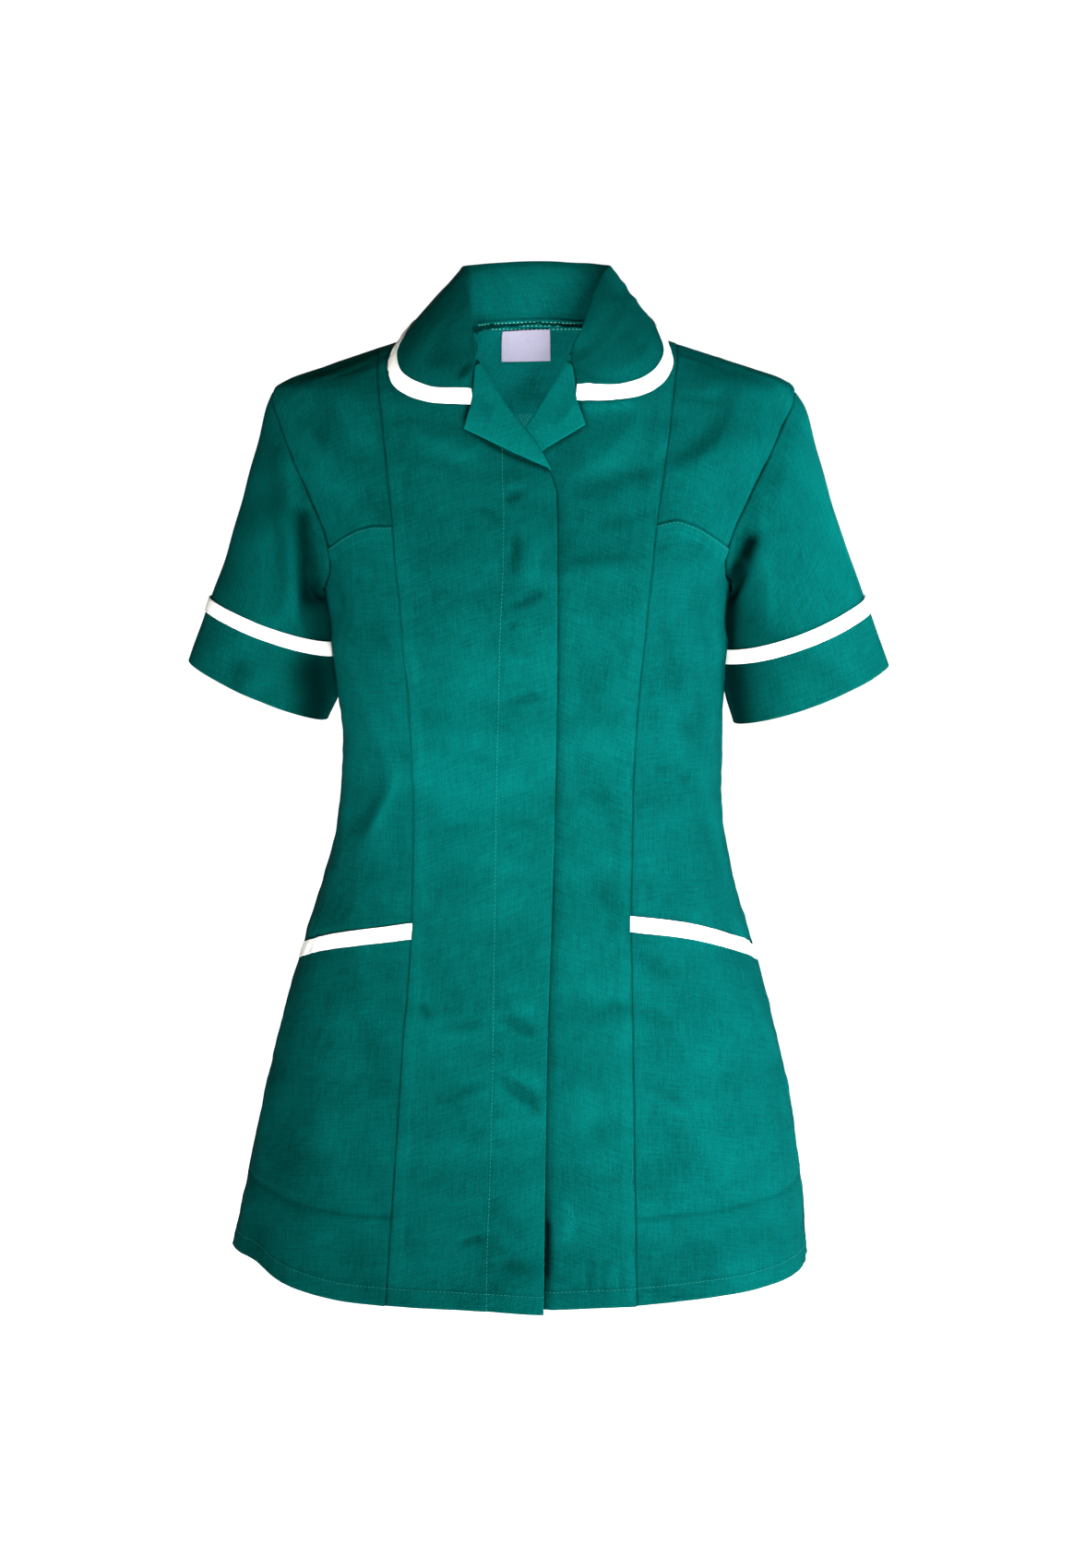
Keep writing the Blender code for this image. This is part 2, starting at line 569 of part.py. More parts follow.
def bust_seam(side, share):
    """Sideways places and heights along the bust seam."""
    column = side_column(side)
    start_height = CROSS_SEAMS[0, 1 + column]
    start = curve(PRINCESS, start_height)[..., column]
    arm_turn, arm_height = armhole(side, BUST_SEAM_FACET * 2 * np.pi / AROUND_SLEEVE)
    end = body_plain(arm_turn, arm_height)[..., 0]
    height = curve(CROSS_SEAMS, share)[..., column]
    return start + (end - start) * share, np.where(share == 1.0, arm_height, height)


def make_side_front_upper(name, side, finish):
    """Side front above the bust seam, from the princess seam to the armhole."""
    column = side_column(side)
    rows = ROWS_SHOULDER_TO_BUST
    angles = np.arange(rows + 1) * 2 * np.pi / AROUND_SLEEVE
    arm_turn, arm_height = armhole(side, angles)
    arm_across = body_plain(arm_turn, arm_height)[..., 0]
    seam_height = princess_heights(side)[:rows + 1]
    seam_across = curve(PRINCESS, seam_height)[..., column]
    share = np.linspace(0.0, 1.0, COLUMNS_SIDE + 1)[None, :]
    across = seam_across[:, None] * (1 - share) + arm_across[:, None] * share
    height = seam_height[:, None] * (1 - share) + arm_height[:, None] * share
    down = quick_start(rows)[:, None]
    foot_across, foot_height = bust_seam(side, share)
    height = height + (shoulder_height(across[:1]) - height[:1]) * (1 - down) ** 2
    height = height + (foot_height - height[-1:]) * down ** 2
    across = across + (foot_across - across[-1:]) * down ** 2
    turn = turn_at(across, height)
    turn[0] = side * np.pi / 2
    turn[:, -1] = arm_turn
    height[:, -1] = arm_height
    return body_wall(name, turn, height, 0.0, finish)


def make_side_front_lower(name, side, finish):
    """Side front below the bust seam; behind the pocket it is the back of the pocket's bag."""
    first = ROWS_SHOULDER_TO_BUST
    to_armpit = ROWS_BUST_TO_ARMPIT
    to_mouth = to_armpit + ROWS_ARMPIT_TO_MOUTH
    seam_height = princess_heights(side)[first:first + to_mouth + 1]
    angles = np.arange(first, first + to_armpit + 1) * 2 * np.pi / AROUND_SLEEVE
    arm_turn, arm_height = armhole(side, angles)
    side_height = np.concatenate((arm_height[:-1], side_heights(side)[:ROWS_ARMPIT_TO_MOUTH + 1]))
    side_turn = np.full(len(side_height), side * np.pi / 2)
    side_turn[:to_armpit] = arm_turn[:-1]
    share = np.linspace(0.0, 1.0, COLUMNS_SIDE + 1)[None, :]
    down = np.linspace(0.0, 1.0, to_mouth + 1)[:, None]
    height = seam_height[:, None] * (1 - share) + side_height[:, None] * share
    top_across, top_height = bust_seam(side, share)
    bag_turn, bag_height = pocket_grid(side, 0, ROWS_MOUTH_TO_BAG + 1)
    height = height + (top_height - height[:1]) * (1 - down) ** 2
    height = height + (bag_height[:1] - height[-1:]) * down ** 2
    turn = princess_turn(side, height) * (1 - share) + side_turn[:, None] * share
    turn = turn + (turn_at(top_across, top_height) - turn[:1]) * (1 - down) ** 2
    turn[0, -1] = arm_turn[0]
    turn = np.concatenate((turn[:-1], bag_turn))
    height = np.concatenate((height[:-1], bag_height))
    lift = np.where(np.arange(len(height)) < to_mouth, 0.0, -LAYER)[:, None]
    return body_wall(name, turn, height, lift, finish)


def pocket_grid(side, top_rows, foot_rows):
    """Angles and heights of the pocket front between the given rows from its mouth."""
    column = side_column(side)
    first = ROWS_SHOULDER_TO_BUST + ROWS_BUST_TO_ARMPIT + ROWS_ARMPIT_TO_MOUTH
    seam_height = princess_heights(side)[first:]
    side_height = side_heights(side)[ROWS_ARMPIT_TO_MOUTH:]
    share = np.linspace(0.0, 1.0, COLUMNS_SIDE + 1)[None, :]
    height = seam_height[:, None] * (1 - share) + side_height[:, None] * share
    cross = curve(CROSS_SEAMS, share)
    down = np.linspace(0.0, 1.0, len(seam_height))[:, None]
    hem_turn = princess_turn(side, seam_height[-1]) * (1 - share) + side * np.pi / 2 * share
    mouth_bow = cross[..., 2 + column] - height[:1]
    bag_bow = cross[..., 4] - height[ROWS_MOUTH_TO_BAG]
    hem_bow = hem_height(hem_turn) - height[-1:]
    bag_place = ROWS_MOUTH_TO_BAG / (ROWS_MOUTH_TO_BAG + ROWS_BAG_TO_HEM)
    above_bag = np.clip(1 - down / bag_place, 0.0, 1.0)
    below_bag = np.clip((down - bag_place) / (1 - bag_place), 0.0, 1.0)
    height = height + mouth_bow * above_bag + bag_bow * (1 - above_bag - below_bag) + hem_bow * below_bag
    turn = princess_turn(side, height) * (1 - share) + side * np.pi / 2 * share
    return turn[top_rows:foot_rows], height[top_rows:foot_rows]


def make_pocket_front(name, side, finish):
    """Pocket front, over the side front, from the pocket's mouth to the hem."""
    turn, height = pocket_grid(side, 0, None)
    return body_wall(name, turn, height, 0.0, finish)


def make_pocket_tape(name, side, finish):
    """Trim on the pocket's mouth, on the pocket front."""
    turn, height = pocket_grid(side, 0, 1)
    height = np.concatenate((height, height - TAPE_WIDTH))
    turn = np.concatenate((turn, turn))
    return body_wall(name, turn, height, ON_TOP, finish)


def back_grid():
    """Angles and heights of the back, between the shoulder, armhole and side seams."""
    half = np.array(BACK_COLUMNS)
    arm_rows = AROUND_SLEEVE // 2
    angles = 2 * np.pi - np.arange(arm_rows + 1) * 2 * np.pi / AROUND_SLEEVE
    both_sides = []
    for side in (-1.0, 1.0):
        arm_turn, arm_height = armhole(side, angles)
        arm_across = body_plain(arm_turn, arm_height)[..., 0]
        below = side_heights(side)[1:]
        edge_height = np.concatenate((arm_height, below))
        edge_turn = np.concatenate((arm_turn, np.full(len(below), side * np.pi / 2)))
        height = np.repeat(edge_height[:, None], len(half), axis=1)
        top = np.abs(arm_across[0]) * half
        neck = curve(BACK_NECK, top)[..., 0]
        shoulder = shoulder_height(side * top)
        bow = np.where(top < NECK_HALF_WIDTH, neck, shoulder) - height[0]
        down = np.clip(np.arange(len(edge_height)) / arm_rows, 0.0, 1.0)
        height[:] += bow * ((1.0 - down) ** 1.5)[:, None]
        flat = 1.0 - smooth_step(down, 0.0, 1.0)
        spread = flat[:, None] * half + (1 - flat)[:, None] * np.sin(half * np.pi / 2)
        edge_across = body_plain(edge_turn, edge_height)[..., 0]
        shift = section(height)[3]
        across = shift + (edge_across[:, None] - shift) * spread
        turn = turn_at(across, height, at_back=True)
        upper = len(arm_height)
        turn[:upper, 0] = arm_turn
        turn[upper:] = side * (np.pi - half * np.pi / 2)
        turn[:, 0] = edge_turn
        on_shoulder = top >= NECK_HALF_WIDTH
        turn[0, on_shoulder] = side * np.pi / 2
        hem_rows = np.clip((np.arange(len(edge_height)) - len(edge_height) + 1 + ROWS_BAG_TO_HEM)
                           / ROWS_BAG_TO_HEM, 0.0, 1.0)
        height = height + (hem_height(turn[-1]) - height[-1]) * hem_rows[:, None]
        turn[:, -1] = side * np.pi
        both_sides.append((turn, height))
    (right_turn, right_height), (left_turn, left_height) = both_sides
    turn = np.concatenate((right_turn + 2 * np.pi, left_turn[:, ::-1][:, 1:]), axis=1)
    height = np.concatenate((right_height, left_height[:, ::-1][:, 1:]), axis=1)
    return turn, height


def make_back(name, finish):
    """The back, in one piece."""
    turn, height = back_grid()
    return body_wall(name, turn, height, 0.0, finish)


# ---------------------------------------------------------------- sleeves
def sleeve_rings(side):
    """The armhole's ring and the sleeve's own rings, as rows of points."""
    table = SLEEVE_RIGHT if side < 0 else SLEEVE_LEFT
    angle = np.arange(AROUND_SLEEVE) * 2 * np.pi / AROUND_SLEEVE
    turn, height = armhole(side, angle)
    leave = SLEEVE_LEAVE_TOP + (SLEEVE_LEAVE_FOOT - SLEEVE_LEAVE_TOP) * (0.5 - 0.5 * np.cos(angle))
    rings = [body_plain(turn, height) + body_normal(turn, height) * leave[:, None]]
    for outer_x, outer_z, inner_x, inner_z, front, back, scoop, sag in table:
        share = 0.5 + 0.5 * np.cos(angle)
        sine = np.sin(angle)
        reach = sine * (1.0 - scoop * np.cos(angle)) / (1.0 + SLEEVE_SCOOP_WIDTH * scoop)
        forward = np.where(sine >= 0.0, front, back) * reach
        across = inner_x + (outer_x - inner_x) * share
        up = inner_z + (outer_z - inner_z) * share - sag * np.clip(sine, 0.0, 1.0)
        rings.append(np.stack((across, -forward, up), axis=-1))
    return np.array(rings)


def ring_normals(rings):
    """Outward unit normals of a stack of closed rings."""
    around = np.roll(rings, -1, axis=1) - np.roll(rings, 1, axis=1)
    along = np.gradient(rings, axis=0)
    normal = np.cross(around, along)
    normal /= np.linalg.norm(normal, axis=-1, keepdims=True)
    outward = rings - rings.mean(axis=1, keepdims=True)
    return normal * np.sign(np.einsum("ijk,ijk->ij", normal, outward))[..., None]


def make_sleeve(name, side, finish):
    """Sleeve, from the armhole to the middle of its trim."""
    rings = sleeve_rings(side)
    outward = ring_normals(rings)
    middle = 0.5 * (rings[TAPE_RING + 1] + rings[CUFF_RING + 1])
    grid = np.concatenate((rings[:TAPE_RING + 2], middle[None]))
    outward = np.concatenate((outward[:TAPE_RING + 2], outward[TAPE_RING + 1:TAPE_RING + 2]))
    return wall(name, grid, outward, finish, closed=True)


def make_cuff(name, side, finish):
    """Cuff band, from the middle of the trim to the sleeve's opening."""
    rings = sleeve_rings(side)
    outward = ring_normals(rings)
    middle = 0.5 * (rings[TAPE_RING + 1] + rings[CUFF_RING + 1])
    half_way = 0.5 * (rings[CUFF_RING + 1] + rings[HEM_RING + 1])
    grid = np.stack((middle, half_way, rings[HEM_RING + 1]))
    facing = np.stack((outward[TAPE_RING + 1], outward[CUFF_RING + 1], outward[HEM_RING + 1]))
    return wall(name, grid, facing, finish, closed=True)


def make_sleeve_tape(name, side, finish):
    """Trim round the sleeve, on the sleeve and its cuff band."""
    rings = sleeve_rings(side)
    outward = ring_normals(rings)
    middle = 0.5 * (rings[TAPE_RING + 1] + rings[CUFF_RING + 1])
    grid = np.stack((rings[TAPE_RING + 1], middle, rings[CUFF_RING + 1]))
    facing = np.stack((outward[TAPE_RING + 1],) * 2 + (outward[CUFF_RING + 1],))
    return wall(name, grid + facing * ON_TOP, facing, finish, closed=True)


# ---------------------------------------------------------------- collar, lapels and label
def unit(vectors):
    """The vectors at length one."""
    return vectors / np.maximum(np.linalg.norm(vectors, axis=-1, keepdims=True), 1e-9)


def collar_point(across, along):
    """Point of the collar: across from neck seam to edge, along from its right end to its left."""
    stations = np.linspace(0.0, 1.0, len(COLLAR))
    row = curve(np.column_stack((stations, COLLAR)), along)
    seam, roll, edge = row[..., 0:3], row[..., 3:6], row[..., 6:9]
    fold, crown = row[..., 9:10], row[..., 10:11]
    up = unit(roll - seam)
    out = edge - roll
    out = unit(out - up * np.sum(out * up, axis=-1, keepdims=True))
    before = roll - (up + out) * fold
    after = roll + (out - up) * fold
    rise = np.full_like(fold, NECK_AXIS_RISE)
    round_neck = np.concatenate((roll[..., :1], roll[..., 1:2] - NECK_AXIS_BACK, rise), axis=-1)
    middle = 0.5 * (after + edge) + unit(round_neck) * crown
    controls = np.stack((seam, before, roll, after, middle, edge))
    knots = np.array(COLLAR_KNOTS)
    slopes = np.gradient(controls, knots, axis=0)
    span = np.clip(np.searchsorted(knots, across, side="right") - 1, 0, len(knots) - 2)
    width = (knots[span + 1] - knots[span])[..., None]
    part = ((across - knots[span]) / width[..., 0])[..., None]
    place = np.indices(span.shape)
    pick = (span,) + tuple(place)
    follow = (span + 1,) + tuple(place)
    return ((1 + 2 * part) * (1 - part) ** 2 * controls[pick]
            + part * (1 - part) ** 2 * width * slopes[pick]
            + part ** 2 * (3 - 2 * part) * controls[follow]
            + part ** 2 * (part - 1) * width * slopes[follow])


def collar_grid(across):
    """Points and outward normals of the collar: a row of places across it for each station."""
    along = np.repeat(np.linspace(0.0, 1.0, COLLAR_STATIONS + 1)[:, None], across.shape[1], axis=1)
    inside = np.clip(along, SHARE_STEP, 1.0 - SHARE_STEP)
    middle = np.clip(across, SHARE_STEP, 1.0 - SHARE_STEP)
    outward = -normals(collar_point, middle, inside, SHARE_STEP, SHARE_STEP)
    return collar_point(across, along), outward


def tape_start():
    """Place across the collar where its trim starts, at each station."""
    ends = np.array(((COLLAR_KNOTS[-2], 1.0),) * (COLLAR_STATIONS + 1))
    fall, _ = collar_grid(ends)
    reach = np.linalg.norm(fall[:, 1] - fall[:, 0], axis=-1)
    return 1.0 - TAPE_WIDTH / reach * (1.0 - COLLAR_KNOTS[-2])


def make_collar(name, finish):
    """Collar in one piece: its stand rises from the neck seam, rolls over and falls to its edge."""
    start = tape_start()[:, None]
    plain = np.repeat(np.array(COLLAR_ACROSS)[None, :], len(start), axis=0)
    grid, outward = collar_grid(np.hstack((plain, start, np.ones_like(start))))
    return wall(name, grid, outward, finish)


def make_collar_tape(name, finish):
    """Trim along the collar's outer edge, on top of the fall."""
    start = tape_start()[:, None]
    grid, outward = collar_grid(np.hstack((start, np.ones_like(start))))
    return wall(name, grid + outward * ON_TOP, outward, finish)


def make_lapel(name, side, finish):
    """Lapel: the top of the front's facing, turned out along the fold line and pressed flat."""
    column = side_column(side)
    top_x, top_z, point_x, point_z, fold_top, fold_foot = LAPEL_RIGHT if side < 0 else LAPEL_LEFT
    down = np.linspace(0.0, 1.0, LAPEL_ROWS)[:, None]
    share = np.linspace(0.0, 1.0, LAPEL_COLUMNS_RIGHT if side < 0 else LAPEL_COLUMNS_LEFT)[None, :]
    outer_height = top_z + (point_z - top_z) * down
    outer_across = top_x + (point_x - top_x) * down
    fold_height = fold_top + (fold_foot - fold_top) * down
    fold_across = curve(FRONT_EDGE, fold_height)[..., column]
    if side > 0:
        fold_across = np.maximum(fold_across, curve(FRONT_EDGE, fold_height)[..., 0] - LAPEL_HIDDEN)
    height = outer_height * (1 - share) + fold_height * share
    across = outer_across * (1 - share) + fold_across * share
    lift = LAPEL_LIFT_LEFT + underlap(across, height) if side > 0 else LAPEL_LIFT_RIGHT
    return body_wall(name, turn_at(across, height), height, lift, finish)


def make_neck_binding(name, finish):
    """Binding over the back neck seam, on the inside, made from the back's own points."""
    turn, height = back_grid()
    middle = turn.shape[1] // 2
    reach = BINDING_COLUMNS
    turn = turn[:2, middle - reach:middle + reach + 1]
    height = height[:2, middle - reach:middle + reach + 1]
    points = body(turn, height)
    outward = body_normal(turn, height)
    top = points[0] + (points[1] - points[0]) * BINDING_START
    foot = points[0] + (points[1] - points[0]) * BINDING_END
    facing = outward[0] + outward[1]
    facing /= np.linalg.norm(facing, axis=-1, keepdims=True)
    return wall(name, np.stack((top, foot)) - facing * BINDING_DEPTH, np.stack((facing, facing)), finish)


def make_label(name, finish):
    """Bare label, sewn in below the binding."""
    across = np.repeat(np.linspace(LABEL_LEFT, LABEL_RIGHT, LABEL_COLUMNS)[None, :], LABEL_ROWS, axis=0)
    height = np.repeat(np.linspace(LABEL_TOP, LABEL_FOOT, LABEL_ROWS)[:, None], LABEL_COLUMNS, axis=1)
    height = height - LABEL_SKEW * (across < LABEL_SKEW_FROM)
    return body_wall(name, turn_at(across, height, at_back=True) % (2 * np.pi), height, LABEL_DEPTH,
                     finish, LABEL_WALL)


def main():
    """Build every piece of the tunic."""
    clear_scene()
    green = material("green_cloth", GREEN)
    white = material("white_tape", WHITE)
    satin = material("label_satin", LILAC_WHITE, SATIN_ROUGHNESS)
    for side, word in ((-1.0, "right"), (1.0, "left")):
        make_front("front_" + word, side, green)
        make_side_front_upper("side_front_upper_" + word, side, green)
        make_side_front_lower("side_front_lower_" + word, side, green)
        make_pocket_front("pocket_front_" + word, side, green)
        make_pocket_tape("pocket_tape_" + word, side, white)
        make_lapel("lapel_" + word, side, green)
        make_sleeve("sleeve_" + word, side, green)
        make_cuff("cuff_" + word, side, green)
        make_sleeve_tape("sleeve_tape_" + word, side, white)
    make_back("back", green)
    make_collar("collar", green)
    make_collar_tape("collar_tape", white)
    make_neck_binding("neck_binding", green)
    make_label("label", satin)


main()
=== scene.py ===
"""Looks of a women's short-sleeved work tunic, filled out and hollow.

Metres, +Z up.  The front faces -Y, the wearer's left is +X and the origin is the middle of the neck base.
Every panel of the body is a thin sheet of cloth on one torso surface, between its own seam lines.  Folds
and creases are soft troughs and ridges laid on that surface.  Seams sink, and their allowances turn in.
"""

import logging
from dataclasses import dataclass, field, fields
from enum import Enum
from typing import Callable

import bpy
import numpy as np
from bpy.types import Material, Node, NodeSocket, NodeTree, Object
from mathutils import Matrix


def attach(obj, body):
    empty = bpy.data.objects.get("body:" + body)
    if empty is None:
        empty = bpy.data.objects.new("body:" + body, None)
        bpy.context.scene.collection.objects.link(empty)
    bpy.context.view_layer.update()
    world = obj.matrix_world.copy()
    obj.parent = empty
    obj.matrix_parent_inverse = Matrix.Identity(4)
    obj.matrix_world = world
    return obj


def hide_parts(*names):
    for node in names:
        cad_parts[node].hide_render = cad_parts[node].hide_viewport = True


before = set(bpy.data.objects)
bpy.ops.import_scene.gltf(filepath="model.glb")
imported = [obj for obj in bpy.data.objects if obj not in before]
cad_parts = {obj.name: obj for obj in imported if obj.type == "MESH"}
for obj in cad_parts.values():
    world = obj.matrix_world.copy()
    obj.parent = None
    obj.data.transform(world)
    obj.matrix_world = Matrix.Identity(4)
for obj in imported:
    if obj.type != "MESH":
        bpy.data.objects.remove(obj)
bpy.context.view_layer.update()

LOG = logging.getLogger("tunic")
Array = np.ndarray
Pair = tuple[Array, Array]
Place = tuple[float, float, float]
Distances = dict[str, Array]
Materials = dict[str, Material]
OnTorso = Callable[[Array, Array], Array]


def metres(rows: tuple, kept: tuple[int, ...] = ()) -> Array:
    """Table rows in metres from rows in millimetres.

    Args:
        rows: Rows of equal length.
        kept: Columns of shares or degrees, left as they are.

    Returns:
        The table.
    """
    table = np.array(rows, float)
    scale = np.full(table.shape[1], 1000.0)
    scale[list(kept)] = 1.0
    return table / scale


# ---- cut of the garment
# Tables made by metres() are in millimetres, apart from degrees, shares and roundness.
# Level sections: height, half width, depth to the front and to the back, sideways shift, roundness.
SECTIONS = metres((
    (-3, 45, 30, 62, 0, 2.0),
    (-8, 60, 36, 66, 0, 2.0),
    (-20.5, 102, 46, 73, -1, 2.0),
    (-32, 138, 54, 80, -1, 2.0),
    (-40, 163.5, 60, 84, -0.5, 2.0),
    (-47, 184, 65, 88, -0.5, 2.0),
    (-54, 193.5, 70, 91, -1.5, 2.0),
    (-70, 197, 79, 97, -3, 2.0),
    (-100, 195, 95, 105, -4.3, 2.05),
    (-130, 187, 107, 111, -5, 2.1),
    (-160, 170, 118.5, 113, -5.8, 2.15),
    (-185, 156, 126, 112, -6.4, 2.2),
    (-212, 150, 128, 110, -6.6, 2.2),
    (-247, 148, 124.5, 105, -5.5, 2.2),
    (-289, 144.2, 116, 97, -4, 2.2),
    (-317, 142.8, 110, 93, -3, 2.2),
    (-359, 143.8, 106, 94, -4, 2.2),
    (-423, 154.9, 109, 101, -5.9, 2.25),
    (-459, 165.8, 112, 107, -6.6, 2.25),
    (-530, 186.6, 116, 115, -7, 2.3),
    (-603, 203.3, 119, 122, -7.4, 2.3),
    (-676, 215.8, 121, 125, -10.8, 2.3),
    (-735, 224.2, 122, 126, -14.3, 2.3),
), kept=(5,))

# Large folds: degrees round the body at top and bottom, heights in metres, half width in degrees,
# stand-out in metres.
FOLDS = (
    (-60.0, -66.0, -0.52, -0.76, 11.0, -0.0035),
    (-44.0, -47.0, -0.54, -0.76, 8.0, 0.003),
    (64.0, 60.0, -0.56, -0.76, 9.0, 0.003),
    (118.0, 124.0, -0.42, -0.76, 11.0, 0.005),
    (150.0, 154.0, -0.47, -0.76, 11.0, -0.006),
    (-176.0, -178.0, -0.44, -0.76, 12.0, 0.005),
    (-142.0, -148.0, -0.48, -0.76, 11.0, -0.005),
    (-112.0, -116.0, -0.45, -0.76, 10.0, 0.005),
    (-160.0, -120.0, -0.3, -0.37, 14.0, -0.004),
    (160.0, 120.0, -0.31, -0.38, 14.0, -0.004),
)

# Seams as seen from the front: height, sideways place on the wearer's right and left.
PRINCESS = metres((
    (-26, -116.7, 104), (-42, -116.3, 101.7), (-80, -112, 97),
    (-150, -104.2, 86.8), (-230, -97, 78.4), (-300, -92, 72.5),
    (-360, -90.3, 70.3), (-440, -91.7, 69.4), (-540, -99, 70.9),
    (-640, -105.8, 72.5), (-735, -113, 74.3),
))
FRONT_EDGE = metres((
    (-8, -60, 60), (-18, -50.5, 36.5), (-30, -43.5, 24.5),
    (-42, -36, 18), (-56, -28.6, 9), (-68, -20, 1.5),
    (-81, -9, -7.2), (-96.5, 2.3, -16), (-110, 9.3, -22),
    (-128, 14.2, -24.5), (-160, 14.9, -25), (-240, 15, -26.5),
    (-370, 13.1, -29), (-540, 7.8, -31), (-735, 5.1, -36),
))
PLACKET_STITCH = metres((
    (-114, -24.7), (-141, -23.5), (-180, -24), (-230, -26.2), (-284, -27.5),
    (-338, -29), (-394, -29.8), (-471, -31), (-565, -32.5), (-615, -33.8),
    (-690, -36.5), (-735, -37.2),
))
# Curved seams: share of the way to the side, bust seam right and left, pocket mouth, foot of the bag.
CROSS_SEAMS = metres((
    (0.0, -149.5, -148.1, -441.3, -435.4, -647),
    (0.25, -149.8, -145.5, -448.5, -442.5, -646.5),
    (0.5, -152.5, -149.5, -456, -453, -645),
    (0.75, -159, -157.5, -465.5, -464.5, -643),
    (1.0, -167.8, -167.8, -474.5, -476.5, -640),
), kept=(0,))
HEM = metres((
    (-180.0, -722), (-135.0, -720), (-90.0, -708.5), (-72.0, -708), (-50.0, -718.2),
    (-30.0, -726.6), (0.0, -728), (20.0, -726.4), (46.0, -723.8), (70.0, -719.5),
    (90.0, -719.2), (135.0, -721), (180.0, -722),
), kept=(0,))
BACK_NECK = metres(((0, -3), (30, -4.2), (48, -6.6), (60, -8)))

# Creases of the fronts as seen from the front: from x, z to x, z, half width, stand-out and bow.
FRONT_CREASES = metres((
    (-95, -77, -31, -110, 8.4, 1.2, 2),
    (-150, -55, -118, -97, 9.8, 1.2, 3),
    (-174, -79, -153, -121, 7, 1, 2),
    (-165, -65, -155, -98, 5.6, -0.9, 0),
    (-44, -134, -27, -148, 3.5, -0.9, 3),
    (-24, -130, -10, -125, 4.2, -1.3, 1),
    (-15, -148, -16, -184, 3.5, -2, 1),
    (-1, -152, -5, -189, 6.3, 1, -2),
    (-21, -207, 6, -194, 3.5, -1.2, 1),
    (-21, -221, -14, -216, 2.8, -0.9, 0),
    (-22, -237, -15, -233, 2.8, -0.7, 0),
    (-23, -276, 6, -271, 3.5, -1.3, 1),
    (-26, -294, -18, -296, 2.8, -0.7, 0),
    (144, -55, 96, -104, 9.8, -2.6, 3),
    (96, -104, 22, -123, 8.4, -0.8, 2),
    (76, -74, 26, -113, 9.1, 1.2, 3),
    (29, -66, 73, -64, 3.5, 0.7, 1),
    (101, -58, 134, -61, 2.8, -0.6, 0),
    (39, -149, 86, -139, 4.2, -0.5, 1),
    (22, -171, 69, -169, 4.2, -0.5, 0),
    (82, -162, 97, -166, 2.8, -0.5, 0),
    (91, -216, 104, -289, 6.3, -0.9, 2),
    (104, -289, 126, -318, 5.6, -0.8, -2),
    (55, -241, 19, -299, 7, -0.6, 2),
    (82, -327, 104, -329, 2.8, -0.5, 0),
    (104, -331, 113, -340, 4.2, -0.8, 0),
    (-101, -320, -93, -319, 2.8, -1.2, 0),
    (-99, -331, -129, -392, 3.5, 1.1, 1),
    (-113, -329, -140, -383, 7, -1.6, 1),
    (-75, -370, -35, -368, 4.2, -0.5, 1),
    (-53, -314, -35, -317, 2.8, -0.4, 0),
    (32, -346, 60, -347, 5.6, -0.5, 1),
    (-21, -342, -3, -344, 2.8, -0.4, 0),
    (-21, -363, 4, -367, 2.8, -0.4, 0),
    (-89, -499, -78, -511, 3.5, -0.8, 1),
    (-75, -518, -39, -513, 4.9, -0.8, 1),
    (-27, -508, 0, -521, 4.9, -1.6, 1),
    (-21, -497, 0, -502, 4.2, 0.9, 0),
    (-28, -553, 2, -578, 5.6, -2, 2),
    (-17, -547, 4, -560, 5.6, 1, 1),
    (-75, -572, -39, -557, 4.9, -0.9, 1),
    (-53, -600, -36, -589, 3.5, -0.6, 0),
    (-60, -681, -37, -671, 2.8, -1.1, 1),
    (-25, -691, 0, -702, 6.3, -1.1, 1),
    (40, -507, 71, -504, 6.3, -0.8, 1),
    (76, -505, 100, -520, 5.6, -0.8, 1),
    (72, -533, 82, -534, 2.1, -0.5, 0),
    (76, -465, 100, -485, 5.6, -0.6, 1),
    (79, -555, 111, -579, 7, -0.7, 2),
    (27, -553, 36, -597, 11.2, 1.2, 2),
    (19, -644, 21, -675, 5.6, 1.5, 1),
    (40, -684, 39, -717, 2.8, -0.6, 0),
    (49, -687, 48, -718, 2.8, -0.6, 0),
    (63, -694, 62, -717, 2.8, -0.7, 0),
    (-171, -146, -159, -189, 4.9, -2, 1),
    (-161, -169, -155, -182, 2.8, -1.2, 0),
    (142, -208, 143, -236, 2.8, -1.2, 0),
))
# Creases of the back, the same way, still seen from the front (through the garment).
BACK_CREASES = metres((
    (-150, -80, -90, -135, 11, -2, 4),
    (148, -82, 88, -140, 11, -2, -4),
    (-128, -180, -70, -225, 8, -1.6, 3),
    (126, -176, 66, -230, 8, -1.7, -3),
    (-105, -300, -30, -322, 7, -2.2, 4),
    (110, -306, 22, -330, 7.5, -2, -3),
    (-120, -345, -45, -352, 6, -1.6, 2),
    (112, -352, 50, -360, 6, -1.8, -2),
    (-30, -60, 34, -64, 6, -0.8, -3),
    (-60, -255, -20, -268, 5, 0.9, 1),
    (30, -262, 78, -250, 5.2, 0.9, -1),
))
